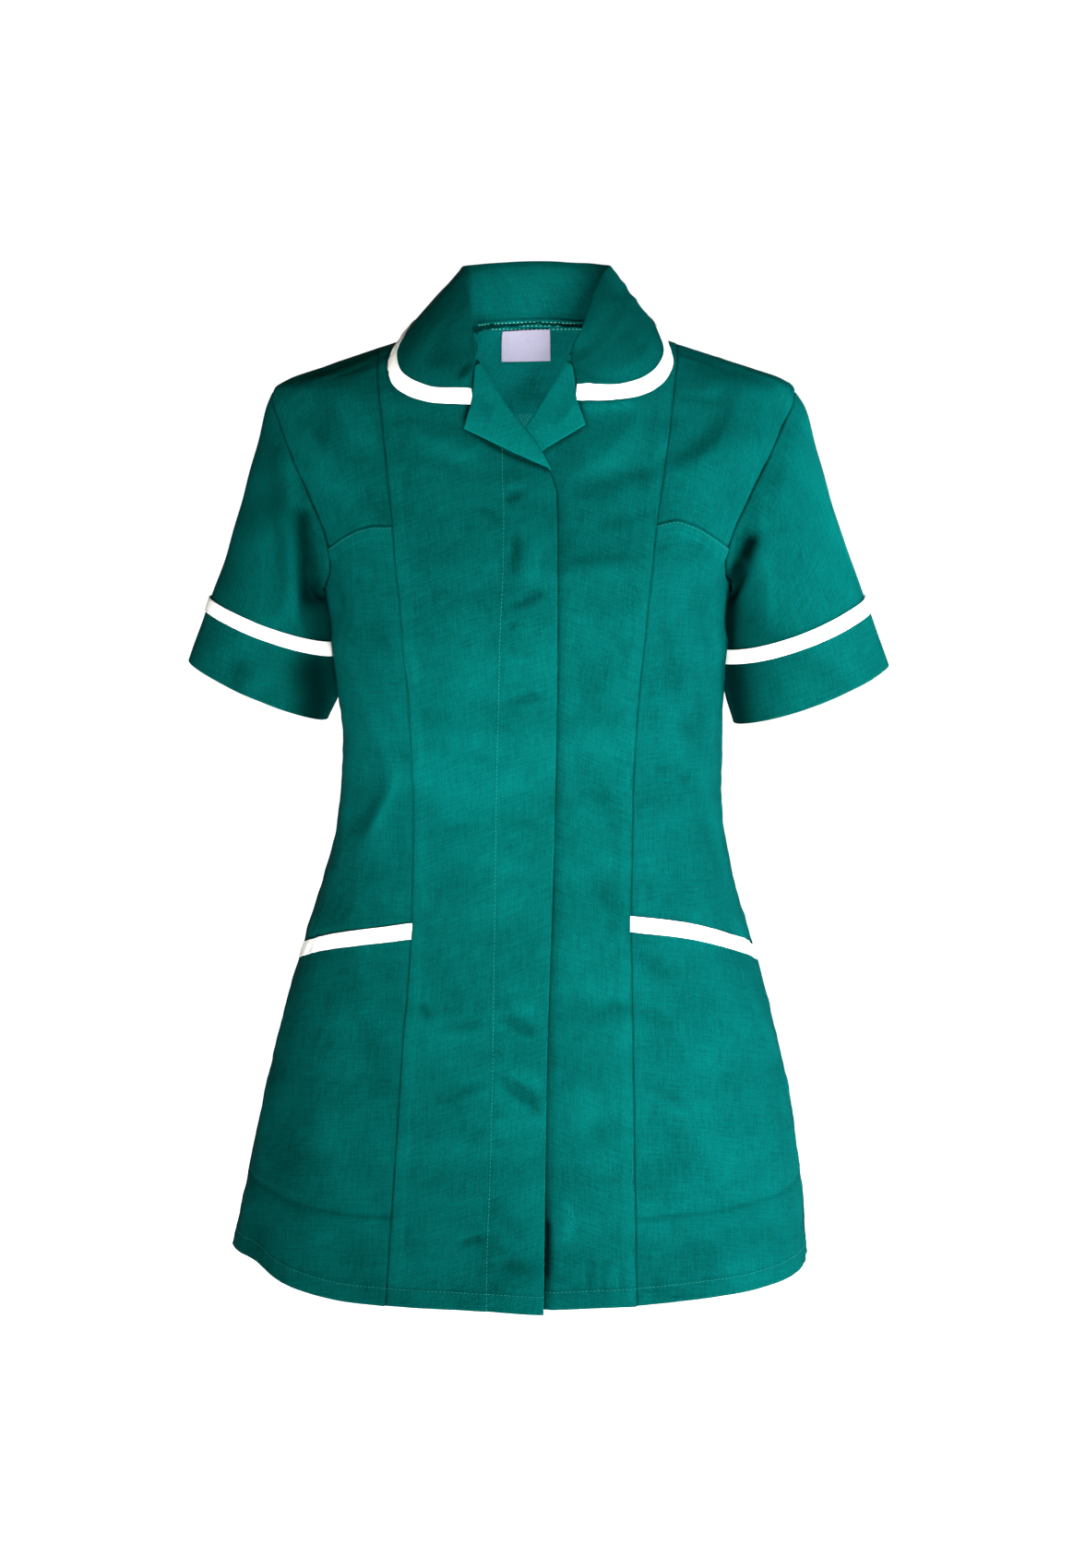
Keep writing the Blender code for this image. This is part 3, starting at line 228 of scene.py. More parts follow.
# Creases of the sleeves, wearer's right and left: front half first, then the back half.
SLEEVE_CREASES = {
    "right_front": metres((
        (-182, -94, -176, -228, 5.8, 2, 2),
        (-189, -145, -187, -210, 4.5, -1.4, 1),
        (-204, -138, -196, -210, 6.5, 1.2, 2),
        (-168, -140, -166, -234, 9, -8, 1),
        (-193, -146, -191, -160, 2.2, -0.9, 0),
        (-186, -262, -190, -290, 9, 1, 1),
    )),
    "right_back": metres((
        (-170, -120, -168, -215, 7, -3, 2),
        (-190, -110, -200, -215, 8, 1.4, 3),
        (-215, -150, -225, -200, 6, -0.9, 1),
    )),
    "left_front": metres((
        (165, -128, 166, -158, 3.8, 1.4, 1),
        (151.5, -148, 140.5, -216, 6.5, -6.5, 1),
        (166, -164, 172, -232, 5.5, 1.2, 1),
        (161, -158, 191, -155, 2.6, -0.6, 1),
        (167, -184, 188, -194, 2.6, -0.6, 1),
        (156, -226, 162, -220, 2.4, -0.9, 0),
        (186, -264, 194, -292, 10, 1, 1),
    )),
    "left_back": metres((
        (160, -130, 158, -222, 7.2, -3.2, -2),
        (186, -112, 194, -218, 8, 1.4, -3),
        (212, -140, 224, -196, 6, -0.9, 1),
    )),
}
# Creases of the collar and lapels as seen from the front.
COLLAR_CREASES = metres((
    (-48, -30, -60, -44, 2.6, -1, 1),
    (-47, -38, -55, -50, 2.2, 0.8, 0),
    (-62, -12, -80, -36, 7, -1.2, 2),
    (30, -38, 44, -46, 2.6, -1, 1),
    (31, -46, 41, -52, 2.2, 0.8, 0),
    (56, -10, 80, -30, 7, -1, 2),
))
LAPEL_CREASES = metres((
    (-42, -56, -36, -70, 2.6, -0.7, 1),
    (-30, -62, -34, -80, 3, 0.6, 1),
    (22, -58, 12, -76, 3, -0.7, 1),
    (28, -60, 22, -74, 2.4, 0.6, 0),
))

# Painted shade below overlaps, deep in folds and over the front of the left shoulder, as seen from the front,
# in metres:
# half width, strength, points of the line.
FRONT_SHADES = {
    "right": (
        (0.0024, 0.85, (-0.0472, -0.064), (-0.0511, -0.0798), (-0.0328, -0.0915), (-0.0206, -0.0982),
         (-0.0064, -0.1035), (0.0078, -0.1085)),
        (0.005, 0.16, (-0.0205, -0.147), (-0.0195, -0.19)),
        (0.009, 0.22, (-0.034, -0.65), (-0.014, -0.668)),
        (0.006, 0.26, (-0.04, -0.676), (-0.03, -0.68)),
        (0.011, 0.2, (-0.028, -0.7), (-0.002, -0.694)),
    ),
    "left": (
        (0.0022, 0.8, (0.0305, -0.061), (0.0348, -0.0771), (0.0245, -0.084), (0.011, -0.092),
         (0.0023, -0.0965)),
        (0.021, 0.2, (0.115, -0.044), (0.145, -0.06), (0.174, -0.076)),
    ),
}
# Painted shade deep in the sleeves' folds and on their cuffs, laid out the same way.
SLEEVE_SHADES = {
    "right": (
        (0.0085, 0.84, (-0.172, -0.146), (-0.168, -0.178), (-0.164, -0.206)),
        (0.007, 0.5, (-0.161, -0.206), (-0.16, -0.24)),
        (0.019, 0.95, (-0.164, -0.262), (-0.164, -0.308)),
        (0.026, 0.18, (-0.2, -0.262), (-0.208, -0.3)),
        (0.007, 0.3, (-0.219, -0.258), (-0.224, -0.284)),
        (0.006, 0.25, (-0.192, -0.1), (-0.193, -0.215)),
    ),
    "left": (
        (0.0062, 0.88, (0.1575, -0.164), (0.15, -0.182), (0.1455, -0.2), (0.1435, -0.245)),
        (0.005, 0.6, (0.149, -0.188), (0.144, -0.206), (0.144, -0.242)),
        (0.005, 0.3, (0.161, -0.158), (0.156, -0.174)),
        (0.012, 0.95, (0.146, -0.262), (0.152, -0.308)),
    ),
}

# Armhole: highest and lowest point, reach to front and back, and how far its widest place lies low.
ARMHOLE_TOP, ARMHOLE_FOOT = -0.056, -0.205
ARMHOLE_FRONT, ARMHOLE_BACK = 0.0625, 0.059
ARMHOLE_SCOOP, ARMHOLE_WIDEST = 0.48, 1.1
BUST_ANGLE = 2.0 * np.pi / 3.0

# Sleeve rings: outer line, underarm line, depth to front and back, scoop left, sag in front, and how
# far the underarm line leans forward (less than 0 is back, behind the body's side).
SLEEVE_RINGS = {
    "right": metres((
        (-201.8, -68, -158.4, -209, 64, 62, 0.42, 0, -4),
        (-209, -97, -157, -215, 64, 62, 0.3, 0, -10),
        (-218, -129, -155.6, -222, 62.5, 61, 0.18, 1, -18),
        (-230, -170, -154, -233, 60, 59, 0.08, 2, -24),
        (-244.1, -209.2, -152.2, -245, 57, 56, 0.0, 0, -27),
        (-247.8, -219, -151.4, -256, 56, 55, 0.0, 0, -26),
        (-254.9, -239.1, -150, -279, 53.5, 53, 0.0, 0, -18),
        (-261.5, -257.7, -158.8, -302.2, 51, 51, 0.0, 1, -3),
    ), kept=(6,)),
    "left": metres((
        (200.8, -68, 145.2, -209, 64, 62, 0.42, 0, -4),
        (208.5, -97, 144, -215, 64, 62, 0.3, 0, -10),
        (217.8, -129, 143, -222, 62.5, 61, 0.18, 1, -18),
        (231.4, -170, 142, -233, 60, 59, 0.08, 2, -24),
        (246.2, -209.2, 141, -250.5, 57, 56, 0.0, 3, -27),
        (250.5, -220.2, 140.4, -261.8, 56, 55, 0.0, 3, -28),
        (257.8, -241, 143.2, -281, 53.5, 53, 0.0, 2, -18),
        (265, -261.2, 149.8, -305, 51, 51, 0.0, 3, -3),
    ), kept=(6,)),
}
TAPE_TOP_RING, TAPE_FOOT_RING = 5, 6

# Collar stations from the right end round to the left: seam, fold line, outer edge, fold, crown.
COLLAR = metres((
    (-42.2, -47.4, -29, -44.2, -55.2, -30.5, -45.8, -78.2, -63.3, 0.8, 5.5),
    (-47, -41.5, -22.5, -45, -48, -22.7, -74, -74.3, -62.1, 1.5, 6),
    (-52.5, -32, -15, -47.5, -33, -9.3, -95.3, -67.6, -56.3, 2.2, 8),
    (-56.8, -19.5, -10.5, -49.2, -16, 7.7, -106.3, -58.5, -46.5, 3, 7),
    (-58.8, -4, -7.8, -52, 2, 22.2, -108.4, -46, -35, 3, 4),
    (-57.5, 12, -7.2, -54.1, 20, 33.4, -102.5, -24, -20.5, 3, 1),
    (-51.5, 26, -6.3, -55, 36, 36.2, -94.5, 18, -11, 3, 0),
    (-32, 48, -4, -32, 57, 38.8, -71, 65, -16, 3, 3),
    (0, 60.8, -2.2, 0, 64, 40.2, 0, 83, -20.5, 3, 4),
    (32, 48, -4, 32, 57, 38.8, 67, 65, -16, 3, 3),
    (51.5, 26, -6.3, 54.8, 36, 36.9, 89, 18, -10, 3, 0),
    (57.5, 12, -7.2, 47.5, 20, 27.8, 96.5, -24, -20, 3, 1),
    (58.8, -4, -7.8, 43.8, 2, 18.7, 99.7, -45, -33.2, 3, 4),
    (53, -20.5, -10, 39.4, -16, 5.7, 95, -58.5, -45, 3, 7),
    (43.5, -33, -13.8, 34.4, -33, -7.9, 80, -68.8, -55.5, 2.2, 8),
    (32.5, -40.5, -19.4, 27.5, -48, -22.2, 60, -74.8, -59.6, 1.5, 6),
    (23.8, -48.6, -28.4, 26.4, -55.7, -30.5, 28.4, -79.4, -60.5, 0.8, 6),
))
COLLAR_KNOTS = np.array((0.0, 0.34, 0.4, 0.46, 0.73, 1.0))


class Side(Enum):
    """The two sides of the garment, as its wearer has them."""

    RIGHT = -1
    LEFT = 1

    @property
    def word(self) -> str:
        """The side's name as the nodes have it."""
        return self.name.lower()

    @property
    def column(self) -> int:
        """The side's column in the seam tables."""
        return 0 if self is Side.RIGHT else 1


class Edge(Enum):
    """How an edge of a piece is finished."""

    SEAM = "sewn, with its allowance turned in"
    LIPPED = "sewn, and raised by the allowances pressed below it"
    HEM = "folded under and stitched"
    FOLD = "a crisp fold"
    LOST = "ends below another piece"


Edges = dict[str, Edge]


# ---- numbers and curves
def cubic(part: Array, width: Array, values: Pair, slopes: Pair) -> Array:
    """Cubic between two values with a slope at each, at a share of the width between them."""
    low, high = values
    rise_low, rise_high = slopes
    return ((1 + 2 * part) * (1 - part) ** 2 * low + part * (1 - part) ** 2 * width * rise_low
            + part ** 2 * (3 - 2 * part) * high + part ** 2 * (part - 1) * width * rise_high)


def smooth_curve(rows: Array, at: Array) -> Array:
    """Smooth curve through table rows: a cubic through each pair, with no overshoot.

    Args:
        rows: The first column is the place, the others are the values there.
        at: Places to read.

    Returns:
        The values at each place, with one more axis than the places.
    """
    rows = np.asarray(rows, float)
    if rows[0, 0] > rows[-1, 0]:
        rows = rows[::-1]
    knots, values = rows[:, 0], rows[:, 1:]
    width = np.diff(knots)[:, None]
    rise = np.diff(values, axis=0) / width
    slope = np.zeros_like(values)
    total = rise[:-1] + rise[1:]
    both = rise[:-1] * rise[1:]
    slope[1:-1] = np.where(both > 0.0, 2.0 * both / np.where(total == 0.0, 1.0, total), 0.0)
    slope[0], slope[-1] = rise[0], rise[-1]
    at = np.clip(np.asarray(at, float), knots[0], knots[-1])
    span = np.clip(np.searchsorted(knots, at, side="right") - 1, 0, len(knots) - 2)
    part = ((at - knots[span]) / width[span, 0])[..., None]
    return cubic(part, width[span], (values[span], values[span + 1]), (slope[span], slope[span + 1]))


def smooth_step(value: Array, low: float, high: float) -> Array:
    """0 below low, 1 above high and an even S between them."""
    part = np.clip((value - low) / (high - low), 0.0, 1.0)
    return part * part * (3.0 - 2.0 * part)


def bell(distance: Array, width: float | Array) -> Array:
    """1 at no distance, falling off as exp(-(distance / width) squared)."""
    return np.exp(-(distance / width) ** 2)


def unit(vectors: Array) -> Array:
    """The vectors at length one."""
    return vectors / np.maximum(np.linalg.norm(vectors, axis=-1, keepdims=True), 1e-12)


def lengths_along(grid: Array, axis: int) -> Array:
    """Distance walked from the start of each row or column of a grid of points."""
    steps = np.linalg.norm(np.diff(grid, axis=axis), axis=-1)
    start = np.zeros_like(np.take(steps, [0], axis=axis))
    return np.concatenate((start, np.cumsum(steps, axis=axis)), axis=axis)


def spaced_shares(length: float, cell: float, fine: tuple[float, ...]) -> Array:
    """Shares from 0 to 1 in even cells, with extra places a few tenths of a millimetre from both ends.

    Args:
        length: Real length in metres.
        cell: Size of an even cell in metres.
        fine: Distances from each end that get a place of their own.

    Returns:
        The shares in rising order.
    """
    near = np.array(fine) / length
    even = np.linspace(near[-1], 1.0 - near[-1], max(int(round(length / cell)), 3))
    return np.unique(np.round(np.concatenate(((0.0, 1.0), near, 1.0 - near, even)), 7))


def unevenness(across: Array, up: Array | float, seed: int, shortest: float, longest: float,
               count: int) -> Array:
    """Sum of seeded plane waves, each of its own direction and length, scaled to about one.

    Args:
        across: Place across the cloth in metres.
        up: Place along the cloth in metres, or 0 where the waves run one way.
        seed: Seed of the waves.
        shortest: Shortest wave in metres.
        longest: Longest wave in metres.
        count: Number of waves.

    Returns:
        The height of the sum at each place.
    """
    draw = np.random.default_rng(seed)
    total = np.zeros(np.broadcast(across, up).shape)
    for _ in range(count):
        turn, phase = draw.uniform(0, np.pi), draw.uniform(0, 2 * np.pi)
        wave = np.exp(draw.uniform(np.log(shortest), np.log(longest)))
        total += np.sin(2 * np.pi / wave * (across * np.cos(turn) + up * np.sin(turn)) + phase)
    return total / np.sqrt(count / 2.0)


def crease_relief(creases: Array, across: Array, up: Array) -> Array:
    """Stand-out of soft creases, each a trough or ridge with faint opposite lips along a bowed line.

    For a crease the place along its chord runs from 0 to 1 and the distance off its bowed line is
    divided by its half width.  The profile is exp(-q) * (1 - 0.55 q), where q is that quotient squared,
    and it fades in and out over the ends of the chord.

    Args:
        creases: Rows of x, z, x, z, half width, stand-out and bow.
        across: Sideways places.
        up: Heights.

    Returns:
        The stand-out at each place.
    """
    total = np.zeros(np.broadcast(across, up).shape)
    for x0, z0, x1, z1, half_width, most, bow in creases:
        length = np.hypot(x1 - x0, z1 - z0)
        ux, uz = (x1 - x0) / length, (z1 - z0) / length
        along = ((across - x0) * ux + (up - z0) * uz) / length
        aside = -(across - x0) * uz + (up - z0) * ux
        inside = np.clip(along, 0.0, 1.0)
        past = (along - inside) * length
        aside = aside - 4.0 * bow * inside * (1.0 - inside)
        narrow = 1.25 * half_width * (0.55 + 0.45 * np.sin(np.pi * np.clip(inside, 0.02, 0.98)) ** 0.5)
        q = (aside / narrow) ** 2 + (past / (0.8 * half_width)) ** 2
        fade = smooth_step(along, -0.15, 0.38) * smooth_step(-along, -1.15, -0.62)
        total += most * fade * np.exp(-q) * (1.0 - 0.55 * q)
    return total


def crossing(values: Array, axis: int) -> Pair:
    """Where a grid of values crosses zero along an axis, between straight pieces.

    Args:
        values: Grid that changes sign once along the axis.
        axis: 0 looks down each column, 1 looks along each row.

    Returns:
        Fractional rows and columns of the crossings.
    """
    field_ = values if axis == 1 else values.T
    before = field_ < 0.0 if field_[:, 0].mean() < 0.0 else field_ > 0.0
    place = np.clip(before.sum(axis=1) - 1, 0, field_.shape[1] - 2)
    line = np.arange(len(field_))
    low, high = field_[line, place], field_[line, place + 1]
    part = np.clip(-low / np.where(high == low, 1.0, high - low), 0.0, 1.0)
    spot = place + part
    return (line.astype(float), spot) if axis == 1 else (spot, line.astype(float))


def on_grid(grid: Array, row: Array, column: Array) -> Array:
    """Values between a grid's points, at fractional rows and columns, by straight interpolation."""
    r = np.clip(np.floor(row).astype(int), 0, grid.shape[0] - 2)
    c = np.clip(np.floor(column).astype(int), 0, grid.shape[1] - 2)
    a, b = (row - r)[:, None], (column - c)[:, None]
    return (grid[r, c] * (1 - a) * (1 - b) + grid[r, c + 1] * (1 - a) * b
            + grid[r + 1, c] * a * (1 - b) + grid[r + 1, c + 1] * a * b)


# ---- the torso surface
@dataclass(frozen=True)
class Torso:
    """The surface that every panel of the body lies on."""

    sections: Array = field(default_factory=lambda: SECTIONS)
    uneven: float = 0.0004
    crease: float = 1.7
    mean_radius: float = 0.16

    def section(self, height: Array) -> tuple[Array, ...]:
        """Half width, front and back depth, shift and roundness at a height."""
        values = smooth_curve(self.sections, height)
        return tuple(values[..., column] for column in range(5))

    def plain(self, turn: Array, height: Array) -> Array:
        """Point of the surface without folds: a rounded ellipse at each height.

        Sideways it is shift + half width * sine ** (2 / roundness) and in depth the front or back
        depth * cosine ** (2 / roundness), each with its own sign.
        """
        turn, height = np.broadcast_arrays(np.asarray(turn, float), np.asarray(height, float))
        half_width, front, back, shift, roundness = self.section(height)
        sine, cosine = np.sin(turn), np.cos(turn)
        across = shift + half_width * np.sign(sine) * np.abs(sine) ** (2.0 / roundness)
        depth = np.where(cosine > 0.0, front, back)
        return np.stack((across, -depth * np.sign(cosine) * np.abs(cosine) ** (2.0 / roundness), height), -1)

    def normal(self, turn: Array, height: Array) -> Array:
        """Unit normal out of the surface, from its slopes."""
        along = self.plain(turn + 1e-3, height) - self.plain(turn - 1e-3, height)
        up = self.plain(turn, height + 2e-4) - self.plain(turn, height - 2e-4)
        return unit(np.cross(along, up))

    def turn_at(self, across: Array, height: Array, at_back: bool = False) -> Array:
        """Angle round the body of a place seen from the front, or through it at the back."""
        half_width, _, _, shift, roundness = self.section(height)
        share = np.clip((across - shift) / half_width, -1.0, 1.0)
        turn = np.arcsin(np.sign(share) * np.abs(share) ** (roundness / 2.0))
        return (np.pi - turn) % (2 * np.pi) if at_back else turn

    def shoulder_height(self, across: Array) -> Array:
        """Height of the shoulder line at a sideways place."""
        heights = np.linspace(ARMHOLE_TOP, self.sections[0, 0], 400)
        half_width, _, _, shift, _ = self.section(heights)
        reach = half_width + np.sign(np.mean(across)) * shift
        order = np.argsort(reach)
        return np.interp(np.abs(across), reach[order], heights[order])

    def hem_height(self, turn: Array) -> Array:
        """Height of the hem at an angle round the body."""
        degrees = (np.degrees(turn) + 180.0) % 360.0 - 180.0
        return smooth_curve(HEM, degrees)[..., 0]

    def fold_relief(self, turn: Array, height: Array) -> Array:
        """Stand-out of the large folds: a bell across each fold that fades in down its length."""
        degrees = np.degrees(turn)
        total = np.zeros(np.broadcast(degrees, height).shape)
        for turn_top, turn_bottom, top, bottom, half_width, most in FOLDS:
            down = np.clip((top - height) / (top - bottom), 0.0, 1.0)
            aside = (degrees - turn_top - (turn_bottom - turn_top) * down + 180.0) % 360.0 - 180.0
            fade = smooth_step(top - height, 0.0, 0.45 * (top - bottom))
            if bottom > self.sections[-1, 0]:
                fade = fade * smooth_step(height - bottom, 0.0, 0.45 * (top - bottom))
            total += most * bell(aside, half_width) * fade
        return total

    def relief(self, turn: Array, height: Array) -> Array:
        """Stand-out of every fold, crease and unevenness of the cloth."""
        across = self.plain(turn, height)[..., 0]
        facing = np.cos(turn)
        front = crease_relief(FRONT_CREASES, across, height) * smooth_step(facing, -0.05, 0.12)
        back = crease_relief(BACK_CREASES, across, height) * smooth_step(-facing, -0.05, 0.12)
        run = turn * self.mean_radius
        waves = (unevenness(run, height, 7, 0.03, 0.11, 16)
                 + 0.3 * unevenness(run, height, 19, 0.01, 0.024, 14))
        return self.fold_relief(turn, height) + self.crease * (front + back) + self.uneven * waves

    def armhole(self, side: Side, angle: Array) -> Pair:
        """Angle round the body and height of the armhole: 0 is its top, a half turn its foot."""
        middle = 0.5 * (ARMHOLE_TOP + ARMHOLE_FOOT)
        height = middle + 0.5 * (ARMHOLE_TOP - ARMHOLE_FOOT) * np.cos(angle)
        reach = np.abs(np.sin(angle)) * (1.0 - ARMHOLE_SCOOP * np.cos(angle)) / ARMHOLE_WIDEST
        in_front = np.sin(angle) >= 0.0
        forward = np.where(in_front, ARMHOLE_FRONT, ARMHOLE_BACK) * reach
        _, front, back, _, roundness = self.section(height)
        cosine = np.clip(forward / np.where(in_front, front, back), 0.0, 1.0) ** (roundness / 2.0)
        turn = np.where(in_front, np.arccos(cosine), np.pi - np.arccos(cosine))
        return side.value * turn, height


TORSO = Torso()


@dataclass(frozen=True)
class SeamLine:
    """A line drawn on the torso, walked by its real length."""

    turn: Array
    height: Array

    @property
    def run(self) -> Array:
        """Distance walked to each of the line's points."""
        return lengths_along(TORSO.plain(self.turn, self.height), 0)

    @property
    def length(self) -> float:
        """The line's whole length."""
        return float(self.run[-1])

    def walk(self, share: Array) -> Pair:
        """Angle and height at shares of the length."""
        run = self.run
        return np.interp(share * run[-1], run, self.turn), np.interp(share * run[-1], run, self.height)

    def then(self, other: "SeamLine") -> "SeamLine":
        """This line followed by another that starts where it ends."""
        return SeamLine(np.concatenate((self.turn, other.turn[1:])),
                        np.concatenate((self.height, other.height[1:])))


@dataclass(frozen=True)
class Pattern:
    """The seam lines of the cut, drawn on the torso."""

    points: int = 500
    overlap_drop: float = 0.0022

    def down(self, start: float, end: float) -> Array:
        """Heights from start to end that begin closely spaced, as the surface turns over there."""
        return start + (end - start) * np.linspace(0.0, 1.0, self.points) ** 2

    def princess_place(self, side: Side, height: Array) -> Array:
        """Sideways place of a princess seam."""
        return smooth_curve(PRINCESS, height)[..., side.column]

    def princess_foot(self, side: Side) -> float:
        """Height at which a princess seam meets the hem."""
        guess = np.array(-0.727)
        return float(TORSO.hem_height(TORSO.turn_at(self.princess_place(side, guess), guess)))

    def princess(self, side: Side, top: float, foot: float) -> SeamLine:
        """Princess seam between two heights."""
        height = self.down(top, foot)
        return SeamLine(TORSO.turn_at(self.princess_place(side, height), height), height)

    def shoulder_top(self, side: Side) -> float:
        """Height at which the princess seam meets the shoulder."""
        return float(TORSO.shoulder_height(np.array(PRINCESS[0, 1 + side.column])))

    def front_edge(self, side: Side) -> SeamLine:
        """Neck, roll line and front edge of one front, from the shoulder to the hem."""
        foot = float(TORSO.hem_height(np.array(0.0)))
        foot -= self.overlap_drop if side is Side.RIGHT else 0.0
        height = self.down(FRONT_EDGE[0, 0], foot)
        across = smooth_curve(FRONT_EDGE, height)[..., side.column]
        return SeamLine(TORSO.turn_at(across, height), height)

    def shoulder(self, side: Side, start: float, end: float) -> SeamLine:
        """Shoulder seam between two sideways places."""
        across = np.linspace(start, end, self.points)
        turn = np.full(self.points, side.value * np.pi / 2)
        return SeamLine(turn, TORSO.shoulder_height(across))

    def armhole(self, side: Side, start: float, end: float) -> SeamLine:
        """Armhole between two of its angles."""
        return SeamLine(*TORSO.armhole(side, np.linspace(start, end, self.points)))

    def armhole_place(self, side: Side, angle: float) -> float:
        """Sideways place of a point of the armhole."""
        turn, height = TORSO.armhole(side, np.array(angle))
        return float(TORSO.plain(turn, height)[..., 0])

    def side_seam(self, side: Side, top: float, foot: float) -> SeamLine:
        """Side seam between two heights."""
        return SeamLine(np.full(self.points, side.value * np.pi / 2), np.linspace(top, foot, self.points))

    def bust(self, side: Side) -> SeamLine:
        """Bust seam, from the princess seam to the armhole."""
        share = np.linspace(0.0, 1.0, self.points)
        _, arm_height = TORSO.armhole(side, np.array(BUST_ANGLE))
        height = smooth_curve(CROSS_SEAMS, share)[..., side.column]
        height = height + (float(arm_height) - height[-1]) * share ** 3
        start = float(self.princess_place(side, height[0]))
        across = start + (self.armhole_place(side, BUST_ANGLE) - start) * share
        return SeamLine(TORSO.turn_at(across, height), height)

    def cross(self, side: Side, column: int) -> SeamLine:
        """Pocket mouth or foot of its bag, from the princess seam to the side seam."""
        share = np.linspace(0.0, 1.0, self.points)
        height = smooth_curve(CROSS_SEAMS, share)[..., column]
        turn = TORSO.turn_at(self.princess_place(side, height), height)
        return SeamLine(turn * (1 - share) + side.value * np.pi / 2 * share, height)

    def pocket_mouth(self, side: Side) -> SeamLine:
        """Mouth of a pocket."""
        return self.cross(side, 2 + side.column)

    def bag_foot(self, side: Side) -> SeamLine:
        """Foot of a pocket's bag."""
        return self.cross(side, 4)

    def side_hem(self, side: Side) -> float:
        """Height at which a side seam meets the hem."""
        return float(TORSO.hem_height(np.array(side.value * np.pi / 2)))

    def hem(self, start: float, end: float, drop_at_end: float = 0.0) -> SeamLine:
        """Hem between two angles round the body."""
        turn = np.linspace(start, end, self.points)
        share = np.linspace(0.0, 1.0, self.points)
        return SeamLine(turn, TORSO.hem_height(turn) - drop_at_end * smooth_step(share, 0.35, 1.0))

    def back_neck(self) -> SeamLine:
        """Neck seam across the back, from the right shoulder to the left."""
        across = 0.06 * np.sin(np.linspace(-np.pi / 2, np.pi / 2, self.points))
        height = smooth_curve(BACK_NECK, np.abs(across))[..., 0]
        turn = TORSO.turn_at(across, height, at_back=True)
        turn[0], turn[-1] = 1.5 * np.pi, 0.5 * np.pi
        return SeamLine(turn, height)


PATTERN = Pattern()


def coons(top: SeamLine, foot: SeamLine, left: SeamLine, right: SeamLine, across: Array, down: Array) -> Pair:
    """Angles and heights of a surface stretched between four lines.

    Each place is the blend of the left and right lines plus the blend of the top and foot lines, less
    the blend of the four corners, which both of them count.

    Args:
        top: Upper line, from left to right.
        foot: Lower line, from left to right.
        left: Left line, from top to foot.
        right: Right line, from top to foot.
        across: Shares of the way from left to right.
        down: Shares of the way from top to foot.

    Returns:
        Grids of angles and heights, a row for each share down.
    """
    result = []
    u, v = across[None, :], down[:, None]
    for t, f, lft, rgt in zip(top.walk(across), foot.walk(across), left.walk(down), right.walk(down)):
        corners = (1 - v) * ((1 - u) * t[0] + u * t[-1]) + v * ((1 - u) * f[0] + u * f[-1])
        result.append((1 - v) * t[None, :] + v * f[None, :] + (1 - u) * lft[:, None] + u * rgt[:, None]
                      - corners)
    return result[0], result[1]


# ---- meshes
@dataclass
class Cloth:
    """A grid of cloth before it becomes a mesh: rows run down the piece and columns across it."""

    points: Array
    outward: Array
    flat: Array
    relief: Array
    middle: Array
    half: Array
    closed: bool = False
    shade: Array | None = None

    def __post_init__(self) -> None:
        """Cloth that is given no shade has none."""
        if self.shade is None:
            self.shade = np.zeros_like(self.relief)

    @property
    def surface(self) -> Array:
        """Points of the outer face."""
        return self.points + self.outward * (self.middle + self.half)[..., None]


def grid_normals(points: Array, toward: Array, closed: bool) -> Array:
    """Unit normals of a grid of points, all on the side that the rough directions show."""
    if closed:
        along = np.roll(points, -1, axis=1) - np.roll(points, 1, axis=1)
    else:
        along = np.gradient(points, axis=1)
    normal = unit(np.cross(along, np.gradient(points, axis=0)))
    return normal * np.sign(np.einsum("ijk,ijk->", normal, toward))


def flat_places(far: Distances, start: float = 0.0) -> Array:
    """Places on the flat cloth: the distance from the left edge, and the distance down from a start."""
    return np.stack((far["left"], -far["top"] - start), axis=-1)


def closed_round(flat: Array, points: Array) -> Array:
    """Flat places of rings with one more column, where the last point meets the first again."""
    step = np.linalg.norm(points[:, 0] - points[:, -1], axis=-1)
    return np.concatenate((flat, flat[:, -1:] + np.stack((step, np.zeros_like(step)), -1)[:, None]), axis=1)


